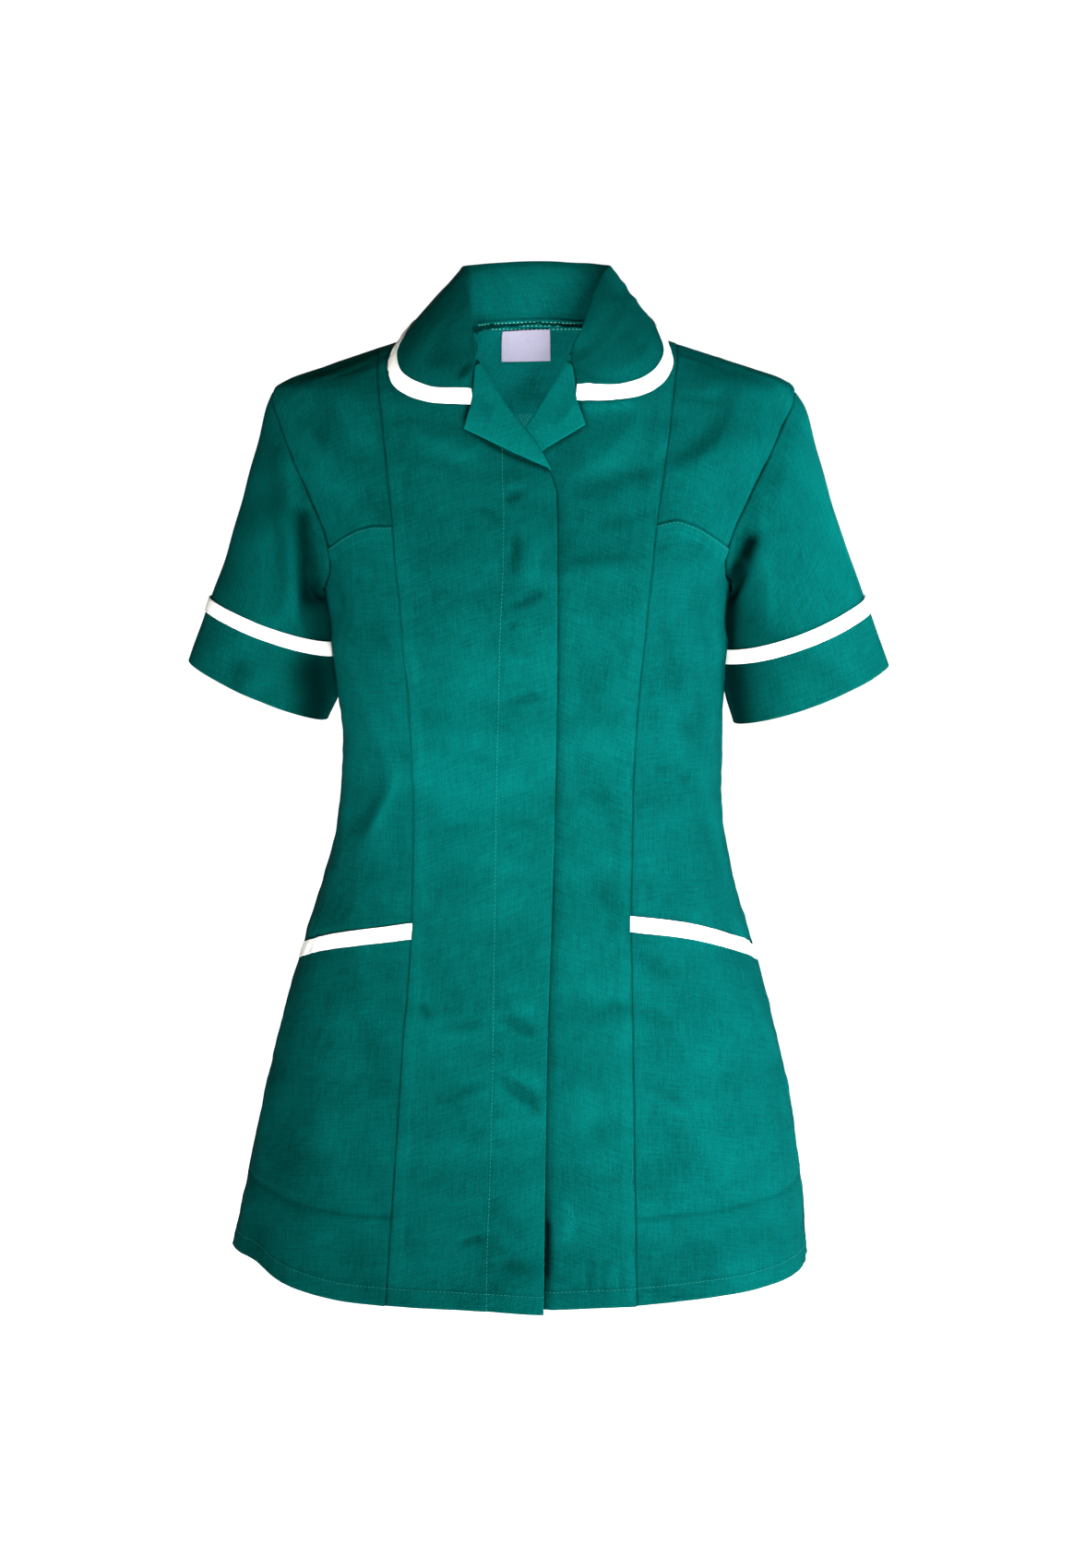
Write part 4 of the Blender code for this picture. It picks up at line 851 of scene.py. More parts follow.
def shell_object(name: str, cloth: Cloth, finish: Material) -> Object:
    """A closed thin wall round a grid of cloth: flat places as UV, relief and painted shade as attributes,
    from which the finish paints shade and highlights.

    Args:
        name: Name of the piece.
        cloth: The grid, with the middle line and half thickness of the wall at each point.
        finish: Material of the piece.

    Returns:
        The new object, at the origin.
    """
    rows, columns = cloth.points.shape[:2]
    outer = cloth.surface.reshape(-1, 3)
    inner = (cloth.points + cloth.outward * (cloth.middle - cloth.half)[..., None]).reshape(-1, 3)
    points = np.concatenate((outer, inner))
    last = columns if cloth.closed else columns - 1
    flat_columns = columns + 1 if cloth.closed else columns
    row, column = np.meshgrid(np.arange(rows - 1), np.arange(last), indexing="ij")
    row, column = row.ravel(), column.ravel()

    def corners(places: list[Pair]) -> Pair:
        """Vertex numbers and flat-place numbers of four-sided faces, from their corners' places."""
        vertex = np.stack([r * columns + c % columns for r, c in places], axis=-1)
        place = np.stack([r * flat_columns + c for r, c in places], axis=-1)
        return vertex, place

    face, place = corners([(row, column), (row + 1, column), (row + 1, column + 1), (row, column + 1)])
    middle = len(face) // 2
    a, b, c = (outer[face[middle, k]] for k in range(3))
    turned = bool(np.dot(np.cross(b - a, c - a), cloth.outward.reshape(-1, 3)[face[middle, 0]]) < 0.0)
    if turned:
        face, place = face[:, ::-1], place[:, ::-1]
    shift = rows * columns
    faces, places = [face, face[:, ::-1] + shift], [place, place[:, ::-1]]
    rims = []
    across = np.arange(last)
    for line_row, flip in ((0, False), (rows - 1, True)):
        line = np.full(last, line_row)
        rims.append((corners([(line, across), (line, across + 1)]), flip))
    if not cloth.closed:
        along = np.arange(rows - 1)
        for line_column, flip in ((0, True), (columns - 1, False)):
            line = np.full(rows - 1, line_column)
            rims.append((corners([(along, line), (along + 1, line)]), flip))
    for (edge, spot), flip in rims:
        quad = np.stack((edge[:, 0], edge[:, 1], edge[:, 1] + shift, edge[:, 0] + shift), axis=-1)
        flat = np.stack((spot[:, 0], spot[:, 1], spot[:, 1], spot[:, 0]), axis=-1)
        if flip != turned:
            quad, flat = quad[:, ::-1], flat[:, ::-1]
        faces.append(quad)
        places.append(flat)
    faces, places = np.concatenate(faces), np.concatenate(places)
    made = mesh_object(name, points, faces, finish)
    layer = made.data.uv_layers.new(name="flat")
    layer.data.foreach_set("uv", cloth.flat.reshape(-1, 2)[places.ravel()].astype(np.float32).ravel())
    for label, values in (("relief", cloth.relief * 1000.0), ("shade", np.clip(cloth.shade, 0.0, 1.0))):
        layer = made.data.attributes.new(label, "FLOAT", "POINT")
        layer.data.foreach_set("value", np.tile(values.ravel(), 2).astype(np.float32))
    return made


def mesh_object(name: str, points: Array, faces: Array, finish: Material) -> Object:
    """A smooth-shaded mesh object at the origin, from its points and equal-sided faces."""
    mesh = bpy.data.meshes.new(name)
    sides = faces.shape[1]
    mesh.vertices.add(len(points))
    mesh.vertices.foreach_set("co", points.astype(np.float32).ravel())
    mesh.loops.add(faces.size)
    mesh.loops.foreach_set("vertex_index", faces.astype(np.int32).ravel())
    mesh.polygons.add(len(faces))
    mesh.polygons.foreach_set("loop_start", np.arange(0, faces.size, sides, dtype=np.int32))
    mesh.update(calc_edges=True)
    mesh.validate()
    mesh.shade_smooth()
    mesh.set_sharp_from_angle(angle=np.radians(62.0))
    mesh.materials.append(finish)
    made = bpy.data.objects.new(name, mesh)
    bpy.context.scene.collection.objects.link(made)
    return made


@dataclass(frozen=True)
class Stitching:
    """Rows of short raised threads, each a small bowed capsule that dips at its ends."""

    pitch: float = 0.003
    length: float = 0.0023
    radius: float = 0.00022
    sides: int = 5

    def along(self, path: Array, outward: Array) -> Array:
        """Points of a row of stitches along a path.

        Args:
            path: Points of the path.
            outward: Normals of the cloth there.

        Returns:
            Points of every stitch: stitch, ring, side and coordinate.
        """
        run = lengths_along(path, 0)
        count = max(int(run[-1] / self.pitch), 1)
        middle = (np.arange(count) + 0.5) * run[-1] / count

        def read(values: Array, place: Array) -> Array:
            """Values at distances walked along the path."""
            return np.stack([np.interp(place, run, values[:, axis]) for axis in range(3)], -1)

        centre, normal = read(path, middle), unit(read(outward, middle))
        ahead, behind = read(path, middle + 0.3 * self.pitch), read(path, middle - 0.3 * self.pitch)
        return self.placed(centre, unit(ahead - behind), normal)

    def on_cloth(self, grid: Array, outward: Array, row: Array, column: Array) -> Array:
        """Stitches on a grid of points, through fractional rows and columns."""
        return self.along(on_grid(grid, row, column), unit(on_grid(outward, row, column)))

    def placed(self, centre: Array, forward: Array, normal: Array) -> Array:
        """Points of stitches at given places, directions and normals."""
        aside = unit(np.cross(normal, forward))
        reach = np.array((-0.5, -0.28, 0.28, 0.5)) * self.length
        thick = np.array((0.35, 1.0, 1.0, 0.35)) * self.radius
        rise = np.array((-0.9, 0.55, 0.55, -0.9)) * self.radius
        angle = np.arange(self.sides) * 2 * np.pi / self.sides
        up = rise[:, None] + thick[:, None] * np.cos(angle)[None, :]
        out = thick[:, None] * np.sin(angle)[None, :]
        return (centre[:, None, None, :] + forward[:, None, None, :] * reach[None, :, None, None]
                + normal[:, None, None, :] * up[None, :, :, None]
                + aside[:, None, None, :] * out[None, :, :, None])



def thread_object(name: str, rows: list[Array], finish: Material) -> Object:
    """One mesh of all the stitches of a piece."""
    points = np.concatenate(rows)
    count, rings, sides = points.shape[:3]
    ring, side = np.meshgrid(np.arange(rings - 1), np.arange(sides), indexing="ij")
    ring, side = ring.ravel(), side.ravel()
    beside = (side + 1) % sides
    one = np.stack((ring * sides + side, ring * sides + beside,
                    (ring + 1) * sides + beside, (ring + 1) * sides + side), -1)
    faces = (np.arange(count)[:, None, None] * rings * sides + one[None]).reshape(-1, 4)
    flat = points.reshape(-1, 3)
    a, b, c = flat[faces[0, 0]], flat[faces[0, 1]], flat[faces[0, 2]]
    if np.dot(np.cross(b - a, c - a), a - flat[: rings * sides].mean(axis=0)) < 0.0:
        faces = faces[:, ::-1]
    return mesh_object(name, flat, faces, finish)


# ---- finishes
class Nodes:
    """Short hand for a node tree."""

    def __init__(self, tree: NodeTree) -> None:
        """Keep the tree."""
        self.tree = tree

    def add(self, kind: str, **settings: object) -> Node:
        """A new node with its settings."""
        node = self.tree.nodes.new(kind)
        for key, value in settings.items():
            setattr(node, key, value)
        return node

    def feed(self, target: NodeSocket, value: object) -> None:
        """Put a number, colour or another node's output into a socket."""
        if isinstance(value, NodeSocket):
            self.tree.links.new(value, target)
        else:
            target.default_value = value

    def math(self, operation: str, *values: object) -> NodeSocket:
        """Output of a math node."""
        node = self.add("ShaderNodeMath", operation=operation)
        for socket, value in zip(node.inputs, values):
            self.feed(socket, value)
        return node.outputs[0]

    def mix(self, factor: object, first: object, second: object) -> NodeSocket:
        """Output of a colour mix."""
        node = self.add("ShaderNodeMix", data_type="RGBA")
        for socket, value in zip((node.inputs[0], node.inputs[6], node.inputs[7]), (factor, first, second)):
            self.feed(socket, value)
        return node.outputs[2]

    def noise(self, vector: object, scale: float, detail: float, roughness: float = 0.55) -> NodeSocket:
        """Output of a noise texture."""
        node = self.add("ShaderNodeTexNoise")
        self.feed(node.inputs["Vector"], vector)
        for key, value in (("Scale", scale), ("Detail", detail), ("Roughness", roughness)):
            node.inputs[key].default_value = value
        return node.outputs["Fac"]

    def span(self, value: object, low: float, high: float, start: float, end: float) -> NodeSocket:
        """A value mapped from one span to another."""
        node = self.add("ShaderNodeMapRange")
        for socket, number in zip(node.inputs, (value, low, high, start, end)):
            self.feed(socket, number)
        return node.outputs[0]


def new_group(name: str, takes: tuple, gives: tuple) -> tuple[NodeTree, Nodes, Node, Node]:
    """An empty node group with its sockets, and its input and output nodes."""
    tree = bpy.data.node_groups.new(name, "ShaderNodeTree")
    for label, kind, value in takes:
        socket = tree.interface.new_socket(name=label, in_out="INPUT", socket_type=kind)
        if value is not None:
            socket.default_value = value
    for label, kind in gives:
        tree.interface.new_socket(name=label, in_out="OUTPUT", socket_type=kind)
    nodes = Nodes(tree)
    return tree, nodes, nodes.add("NodeGroupInput"), nodes.add("NodeGroupOutput")


def weave_group() -> NodeTree:
    """Twill weave from flat places: slanting ribs crossed by yarns, with thick and thin yarns."""
    tree, nodes, take, give = new_group(
        "woven_twill",
        (("Flat", "NodeSocketVector", None), ("Yarn", "NodeSocketFloat", 0.45),
         ("Slant", "NodeSocketFloat", 1.0)),
        (("Height", "NodeSocketFloat"), ("Slub", "NodeSocketFloat")),
    )
    split = nodes.add("ShaderNodeSeparateXYZ")
    nodes.feed(split.inputs[0], take.outputs["Flat"])
    per_yarn = nodes.math("DIVIDE", 1000.0, take.outputs["Yarn"])
    across = nodes.math("MULTIPLY", split.outputs[0], per_yarn)
    along = nodes.math("MULTIPLY", split.outputs[1], per_yarn)
    slanted = nodes.math("ADD", across, nodes.math("MULTIPLY", along, take.outputs["Slant"]))
    rib = nodes.math("SINE", nodes.math("MULTIPLY", slanted, 2.0 * np.pi / 3.0))
    yarn = nodes.math("SINE", nodes.math("MULTIPLY", along, 2.0 * np.pi))
    height = nodes.math("ADD", nodes.math("MULTIPLY", rib, 0.6), nodes.math("MULTIPLY", yarn, 0.4))
    nodes.feed(give.inputs["Height"], height)
    uneven_yarns = []
    for per_metre in ((900.0, 45.0), (45.0, 900.0)):
        stretched = nodes.add("ShaderNodeCombineXYZ")
        for axis in (0, 1):
            nodes.feed(stretched.inputs[axis], nodes.math("MULTIPLY", split.outputs[axis], per_metre[axis]))
        uneven_yarns.append(nodes.noise(stretched.outputs[0], 1.0, 2.0))
    both = nodes.math("MULTIPLY", nodes.math("ADD", *uneven_yarns), 0.5)
    nodes.feed(give.inputs["Slub"], nodes.span(both, 0.3, 0.7, 0.0, 1.0))
    return tree


def mottle_group() -> NodeTree:
    """Uneven dye and handling: soft clouds, finer patches, grain and specks of lint."""
    tree, nodes, take, give = new_group(
        "uneven_dye",
        (("Place", "NodeSocketVector", None),),
        (("Cloud", "NodeSocketFloat"), ("Speck", "NodeSocketFloat"), ("Rumple", "NodeSocketFloat"),
         ("Grain", "NodeSocketFloat")),
    )
    cloud = nodes.noise(take.outputs["Place"], 14.0, 4.0)
    patch = nodes.noise(take.outputs["Place"], 90.0, 3.0)
    both = nodes.math("ADD", nodes.math("MULTIPLY", cloud, 0.55), nodes.math("MULTIPLY", patch, 0.45))
    nodes.feed(give.inputs["Cloud"], nodes.span(both, 0.25, 0.75, 0.0, 1.0))
    grain = nodes.noise(take.outputs["Place"], 520.0, 2.0, 0.6)
    nodes.feed(give.inputs["Grain"], nodes.span(grain, 0.25, 0.75, 0.0, 1.0))
    speck = nodes.noise(take.outputs["Place"], 900.0, 1.0)
    nodes.feed(give.inputs["Speck"], nodes.span(speck, 0.72, 0.8, 0.0, 1.0))
    nodes.feed(give.inputs["Rumple"], nodes.noise(take.outputs["Place"], 160.0, 5.0, 0.6))
    return tree


@dataclass(frozen=True)
class ClothFinish:
    """A woven cloth: its dye, yarn and surface, and the paler colour of its clouds, slubs, specks and painted
    highlights.
    """

    name: str
    colour: Place
    worn: Place
    yarn: float
    slant: float
    roughness: float
    specular: float
    tint: Place
    sheen: float
    weave_depth: float
    rumple_depth: float
    cloud: float

    def build(self, weave: NodeTree, mottle: NodeTree) -> Material:
        """The finish as a node material.

        Args:
            weave: Group that gives the weave's height and slubs.
            mottle: Group that gives the dye's clouds, specks and small rumples.

        Returns:
            The material.
        """
        made = bpy.data.materials.new(self.name)
        made.use_nodes = True
        nodes = Nodes(made.node_tree)
        shader = made.node_tree.nodes["Principled BSDF"]
        flat = nodes.add("ShaderNodeUVMap", uv_map="flat")
        place = nodes.add("ShaderNodeTexCoord")
        woven = nodes.add("ShaderNodeGroup", node_tree=weave)
        nodes.feed(woven.inputs["Flat"], flat.outputs[0])
        woven.inputs["Yarn"].default_value = self.yarn
        woven.inputs["Slant"].default_value = self.slant
        dyed = nodes.add("ShaderNodeGroup", node_tree=mottle)
        nodes.feed(dyed.inputs["Place"], place.outputs["Object"])
        # Painted shade and highlight: where the relief attribute lies low, in troughs and seams, the colour
        # is darker, and where it lies high, on ridges and along edges, it is paler.
        relief = nodes.add("ShaderNodeAttribute", attribute_name="relief")
        ridge = nodes.span(relief.outputs["Fac"], -1.2, 1.2, 0.0, 1.0)
        pale = nodes.math("ADD", nodes.math("MULTIPLY", dyed.outputs["Cloud"], self.cloud),
                          nodes.math("MULTIPLY", woven.outputs["Slub"], 0.6))
        pale = nodes.math("ADD", pale, nodes.math("MULTIPLY", ridge, 0.4))
        pale = nodes.math("ADD", pale, nodes.math("MULTIPLY", dyed.outputs["Grain"], 0.32))
        pale = nodes.span(pale, 0.305, 1.105, 0.0, 0.75)
        pale = nodes.math("ADD", pale, nodes.math("MULTIPLY", dyed.outputs["Speck"], 0.25))
        colour = nodes.mix(pale, (*self.colour, 1.0), (*self.worn, 1.0))
        # Painted shade: the shade attribute darkens the colour towards a twentieth of the dye, below
        # overlaps, deep in folds and along seams.
        shade = nodes.add("ShaderNodeAttribute", attribute_name="shade")
        dark = tuple(0.05 * channel for channel in self.colour)
        colour = nodes.mix(nodes.math("MULTIPLY", shade.outputs["Fac"], 0.96), colour, (*dark, 1.0))
        nodes.feed(shader.inputs["Base Color"], colour)
        rough = nodes.span(dyed.outputs["Cloud"], 0.3, 0.7, self.roughness - 0.04, self.roughness + 0.05)
        nodes.feed(shader.inputs["Roughness"], rough)
        tint = (*self.tint, 1.0)
        for key, value in (("IOR", 1.2), ("Specular IOR Level", self.specular), ("Specular Tint", tint),
                           ("Sheen Weight", self.sheen), ("Sheen Roughness", 0.5), ("Sheen Tint", tint)):
            shader.inputs[key].default_value = value
        height = nodes.math("ADD", nodes.math("MULTIPLY", woven.outputs["Height"], self.weave_depth),
                            nodes.math("MULTIPLY", dyed.outputs["Rumple"], self.rumple_depth))
        bump = nodes.add("ShaderNodeBump")
        bump.inputs["Strength"].default_value = 1.0
        bump.inputs["Distance"].default_value = 0.001
        nodes.feed(bump.inputs["Height"], height)
        nodes.feed(shader.inputs["Normal"], bump.outputs[0])
        return made


@dataclass(frozen=True)
class Finishes:
    """Every finish of the tunic."""

    cloth: ClothFinish = ClothFinish(
        "teal_twill", (0.0003, 0.027, 0.0248), (0.0006, 0.077, 0.0722), 0.45, 1.0, 0.82, 0.01,
        (0.0, 0.75, 0.75), 0.035, 0.1, 0.05, 0.06)
    # The lapels' facing: the same cloth painted lighter, standing in for the light that the lapels catch,
    # with its twill running the other way.
    facing: ClothFinish = ClothFinish(
        "teal_twill_facing", (0.0004, 0.049, 0.045), (0.0008, 0.122, 0.113), 0.45, -1.0, 0.82, 0.01,
        (0.0, 0.75, 0.75), 0.045, 0.1, 0.05, 0.06)
    thread: ClothFinish = ClothFinish(
        "teal_thread", (0.006, 0.098, 0.089), (0.012, 0.14, 0.127), 0.12, 1.0, 0.55, 0.2,
        (0.3, 1.0, 1.0), 0.0, 0.0, 0.0, 0.3)
    neck_thread: ClothFinish = ClothFinish(
        "pale_green_thread", (0.1, 0.36, 0.3), (0.16, 0.47, 0.4), 0.12, 1.0, 0.55, 0.2,
        (0.5, 1.0, 1.0), 0.0, 0.0, 0.0, 0.3)
    tape: ClothFinish = ClothFinish(
        "white_woven_tape", (0.9, 0.89, 0.9), (0.95, 0.95, 0.95), 0.6, 0.0, 0.85, 0.25,
        (1.0, 1.0, 1.0), 0.1, 0.1, 0.05, 0.3)
    tape_thread: ClothFinish = ClothFinish(
        "white_thread", (0.7, 0.69, 0.7), (0.8, 0.8, 0.8), 0.12, 1.0, 0.7, 0.3,
        (1.0, 1.0, 1.0), 0.0, 0.0, 0.0, 0.3)
    label: ClothFinish = ClothFinish(
        "lilac_satin", (0.138, 0.132, 0.18), (0.16, 0.155, 0.21), 0.2, 0.0, 0.38, 0.5,
        (1.0, 1.0, 1.0), 0.05, 0.03, 0.03, 0.5)

    def build(self) -> Materials:
        """Every finish as a material, by the part of the garment it is for."""
        weave, mottle = weave_group(), mottle_group()
        return {entry.name: getattr(self, entry.name).build(weave, mottle) for entry in fields(self)}


# ---- sheets of the body
@dataclass(frozen=True)
class Sewing:
    """Sizes of seams, hems and the cloth itself, in metres."""

    face: float = 0.0004
    wall: float = 0.0008
    doubled: float = 0.0007
    hem_depth: float = 0.0134
    seam_depth: float = 0.0008
    seam_width: float = 0.0007
    seam_shade: float = 0.55
    allowance: float = 0.0095
    allowance_rise: float = 0.00055
    turn_in: tuple[float, ...] = (0.0016, 0.0045)
    pucker: float = 0.00016
    pucker_wave: float = 0.0125
    fine: tuple[float, ...] = (0.00015, 0.0004, 0.0008, 0.0014, 0.0022)


SEWING = Sewing()
SIDES = ("top", "foot", "left", "right")


def edge_distances(points: Array) -> Distances:
    """Distance of each point of a grid from the grid's four edges, along its rows and columns."""
    from_left, from_top = lengths_along(points, 1), lengths_along(points, 0)
    return {"left": from_left, "right": from_left[:, -1:] - from_left,
            "top": from_top, "foot": from_top[-1:] - from_top}


def edge_relief(edges: Edges, far: Distances, seed: int) -> Array:
    """Stand-out that seams, allowances and hems give the cloth beside them.

    A seam sinks as exp(-(distance / width) squared).  A lipped seam's cloth is raised out to the
    allowance's edge.  Puckers are a sine along the edge that dies away with distance from it.

    Args:
        edges: Finish of each edge.
        far: Distances from each edge.
        seed: Seed of the puckers.

    Returns:
        The stand-out at each point.
    """
    total = np.zeros_like(far["left"])
    for order, side in enumerate(SIDES):
        kind = edges.get(side, Edge.LOST)
        if kind is Edge.LOST:
            continue
        away = far[side]
        beside = far["top"] if side in ("left", "right") else far["left"]
        wave = np.sin(2 * np.pi * beside / SEWING.pucker_wave
                      + 2.2 * unevenness(beside, 0.0, seed + order, 0.02, 0.09, 5))
        strength = 0.6 + 0.4 * unevenness(beside, 0.0, seed + 40 + order, 0.05, 0.2, 4)
        if kind in (Edge.SEAM, Edge.LIPPED):
            total -= SEWING.seam_depth * bell(away, SEWING.seam_width)
            total += SEWING.pucker * strength * wave * np.exp(-away / 0.006)
        if kind is Edge.LIPPED:
            rim = smooth_step(away, SEWING.allowance - 0.001, SEWING.allowance + 0.0012)
            total += SEWING.allowance_rise * (1.0 - rim)
        if kind is Edge.HEM:
            total -= 0.0002 * bell(away - SEWING.hem_depth, 0.0011)
            total += 0.00022 * strength * wave * bell(away - SEWING.hem_depth, 0.008)
            total += 0.0006 * unevenness(beside, 0.0, seed + 80, 0.05, 0.16, 6) * np.exp(-away / 0.03)
        if kind is Edge.FOLD:
            total += 0.00012 * strength * wave * np.exp(-away / 0.008)
    return total


def edge_shade(edges: Edges, far: Distances) -> Array:
    """Painted shade where the cloth dips into a seam, and faintly along a hem's stitches."""
    total = np.zeros_like(far["left"])
    for side in SIDES:
        kind = edges.get(side, Edge.LOST)
        if kind in (Edge.SEAM, Edge.LIPPED):
            total += SEWING.seam_shade * bell(far[side], 0.0009)
        if kind is Edge.HEM:
            total += 0.22 * bell(far[side] - SEWING.hem_depth - 0.0006, 0.001)
    return total


def edge_wear(edges: Edges, far: Distances) -> Array:
    """Painted highlight as extra relief in the attribute only: paler cloth along folds, hems and pressed
    allowances.
    """
    total = np.zeros_like(far["left"])
    for order, side in enumerate(SIDES):
        kind = edges.get(side, Edge.LOST)
        beside = far["top"] if side in ("left", "right") else far["left"]
        patchy = 0.7 + 0.3 * unevenness(beside, 0.0, 131 + order, 0.02, 0.12, 6)
        if kind in (Edge.FOLD, Edge.HEM):
            total += 0.001 * patchy * bell(far[side], 0.0011)
        if kind is Edge.LIPPED:
            for away, wide in ((SEWING.allowance, 0.0012), (SEWING.allowance - 0.0045, 0.0009)):
                total += 0.0008 * patchy * bell(far[side] - away, wide)
    return total


def distance_to_line(across: Array, height: Array, line: tuple[tuple[float, float], ...]) -> Array:
    """Shortest distance in the front view from each place to a line of straight pieces."""
    best = np.full(np.broadcast(across, height).shape, 1.0)
    for (x0, z0), (x1, z1) in zip(line[:-1], line[1:]):
        dx, dz = x1 - x0, z1 - z0
        share = np.clip(((across - x0) * dx + (height - z0) * dz) / (dx * dx + dz * dz), 0.0, 1.0)
        best = np.minimum(best, np.hypot(across - x0 - dx * share, height - z0 - dz * share))
    return best


def line_shade(lines: tuple, across: Array, height: Array) -> Array:
    """Painted shade along lines of the front view: strength times a bell of the distance over the half width.
    """
    total = np.zeros(np.broadcast(across, height).shape)
    for half_width, strength, *line in lines:
        total += strength * bell(distance_to_line(across, height, tuple(line)), half_width)
    return total


def wall_sizes(edges: Edges, far: Distances, wall: float, extra: float) -> Pair:
    """Middle line and half thickness of the wall: doubled at hems, rounded at free edges.

    Args:
        edges: Finish of each edge.
        far: Distances from each edge.
        wall: Plain thickness.
        extra: Thickness that a hem adds.

    Returns:
        The middle line's offset from the grid and the half thickness, at each point.
    """
    thick = np.full_like(far["left"], wall)
    taper = np.ones_like(thick)
    for side in SIDES:
        kind = edges.get(side, Edge.LOST)
        if kind is Edge.HEM:
            past = smooth_step(far[side], SEWING.hem_depth - 0.0004, SEWING.hem_depth + 0.0006)
            thick += extra * (1.0 - past)
        if kind in (Edge.HEM, Edge.FOLD):
            near = np.clip(far[side] / 0.0007, 0.0, 1.0)
            taper = np.minimum(taper, 0.22 + 0.78 * np.sqrt(1.0 - (1.0 - near) ** 2))
    return SEWING.face - thick / 2, thick / 2 * taper


def turn_in_edges(cloth: Cloth, edges: Edges) -> Cloth:
    """The cloth with its seam allowances added, turned in behind each sewn edge."""
    grids = {key: value for key, value in vars(cloth).items() if key != "closed"}
    for side in SIDES:
        if edges.get(side) not in (Edge.SEAM, Edge.LIPPED):
            continue
        axis = 0 if side in ("top", "foot") else 1
        at_start = side in ("top", "left")
        first = {key: np.take(value, [0 if at_start else -1], axis=axis) for key, value in grids.items()}
        for depth in SEWING.turn_in:
            step = np.zeros(2)
            step[1 - axis] = -depth if at_start else depth
            strip = {**first, "points": first["points"] - first["outward"] * depth,
                     "relief": first["relief"] - depth * 0.3, "flat": first["flat"] + step}
            for key, grid in grids.items():
                grids[key] = np.concatenate((strip[key], grid) if at_start else (grid, strip[key]), axis=axis)
    return Cloth(**grids, closed=cloth.closed)


@dataclass
class Panel:
    """One cut piece of the body: four seam lines, the finish of its edges and how deep it lies."""

    node: str
    lines: tuple[SeamLine, SeamLine, SeamLine, SeamLine]
    edges: Edges
    size: tuple[float, float]
    area: float
    cell: float = 0.0026
    seed: int = 1
    depth: OnTorso | None = None
    wall: float = SEWING.wall
    extra: Callable[[Array, Array, Distances], Array] | None = None
    shadow: OnTorso | None = None
    far: Distances = field(default_factory=dict)
    cloth: Cloth | None = None

    def lay(self) -> None:
        """Work out the panel's grid of cloth on the torso."""
        top, foot, left, right = self.lines
        across = spaced_shares(max(top.length, foot.length), self.cell, SEWING.fine)
        down = spaced_shares(max(left.length, right.length), self.cell, SEWING.fine)
        turn, height = coons(top, foot, left, right, across, down)
        plain, normal = TORSO.plain(turn, height), TORSO.normal(turn, height)
        self.far = edge_distances(plain)
        relief = TORSO.relief(turn, height) + edge_relief(self.edges, self.far, self.seed)
        if self.extra is not None:
            relief = relief + self.extra(turn, height, self.far)
        lift = relief if self.depth is None else relief + self.depth(turn, height)
        points = plain + normal * lift[..., None]
        outward = grid_normals(points, normal, False)
        middle, half = wall_sizes(self.edges, self.far, self.wall, SEWING.doubled)
        # Painted shade along seams and along the panel's own shadow lines.
        shade = edge_shade(self.edges, self.far)
        if self.shadow is not None:
            shade = shade + self.shadow(turn, height)
        # The relief attribute leaves out the large folds and gains painted highlights along edges; the finish
        # paints shade in its troughs and highlights on its ridges.
        shown = relief - TORSO.fold_relief(turn, height) + edge_wear(self.edges, self.far)
        self.cloth = Cloth(points, outward, flat_places(self.far), shown, middle, half, shade=shade)

    def build(self, finish: Material) -> Object:
        """The panel as an object, with its allowances turned in."""
        return shell_object(f"cloth_{self.node}", turn_in_edges(self.cloth, self.edges), finish)

    def stitch_from(self, side: str, away: float, start: float = 0.0, end: float = 1.0) -> Array:
        """Stitches along a line a set distance from one edge."""
        axis = 1 if side in ("left", "right") else 0
        return self.stitch_where(self.far[side] - away, axis, start, end)

    def stitch_where(self, values: Array, axis: int, start: float = 0.0, end: float = 1.0) -> Array:
        """Stitches where a grid of values crosses zero, between two shares of that line."""
        row, column = crossing(values, axis)
        first, last = int(start * len(row)), max(int(end * len(row)), 2)
        row, column = row[first:last], column[first:last]
        return Stitching().on_cloth(self.cloth.surface, self.cloth.outward, row, column)


def keep(piece: Object, node: str,
         with_pieces: tuple = ()) -> None:
    """Attach a finished sheet and its other pieces to the root, hide the CAD part that it stands for, and log
    it.
    """
    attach(piece, "root")
    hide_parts(node)
    for other in with_pieces:
        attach(other, "root")
    LOG.info("%s: %d faces, stands for %s", piece.name, len(piece.data.polygons), node)


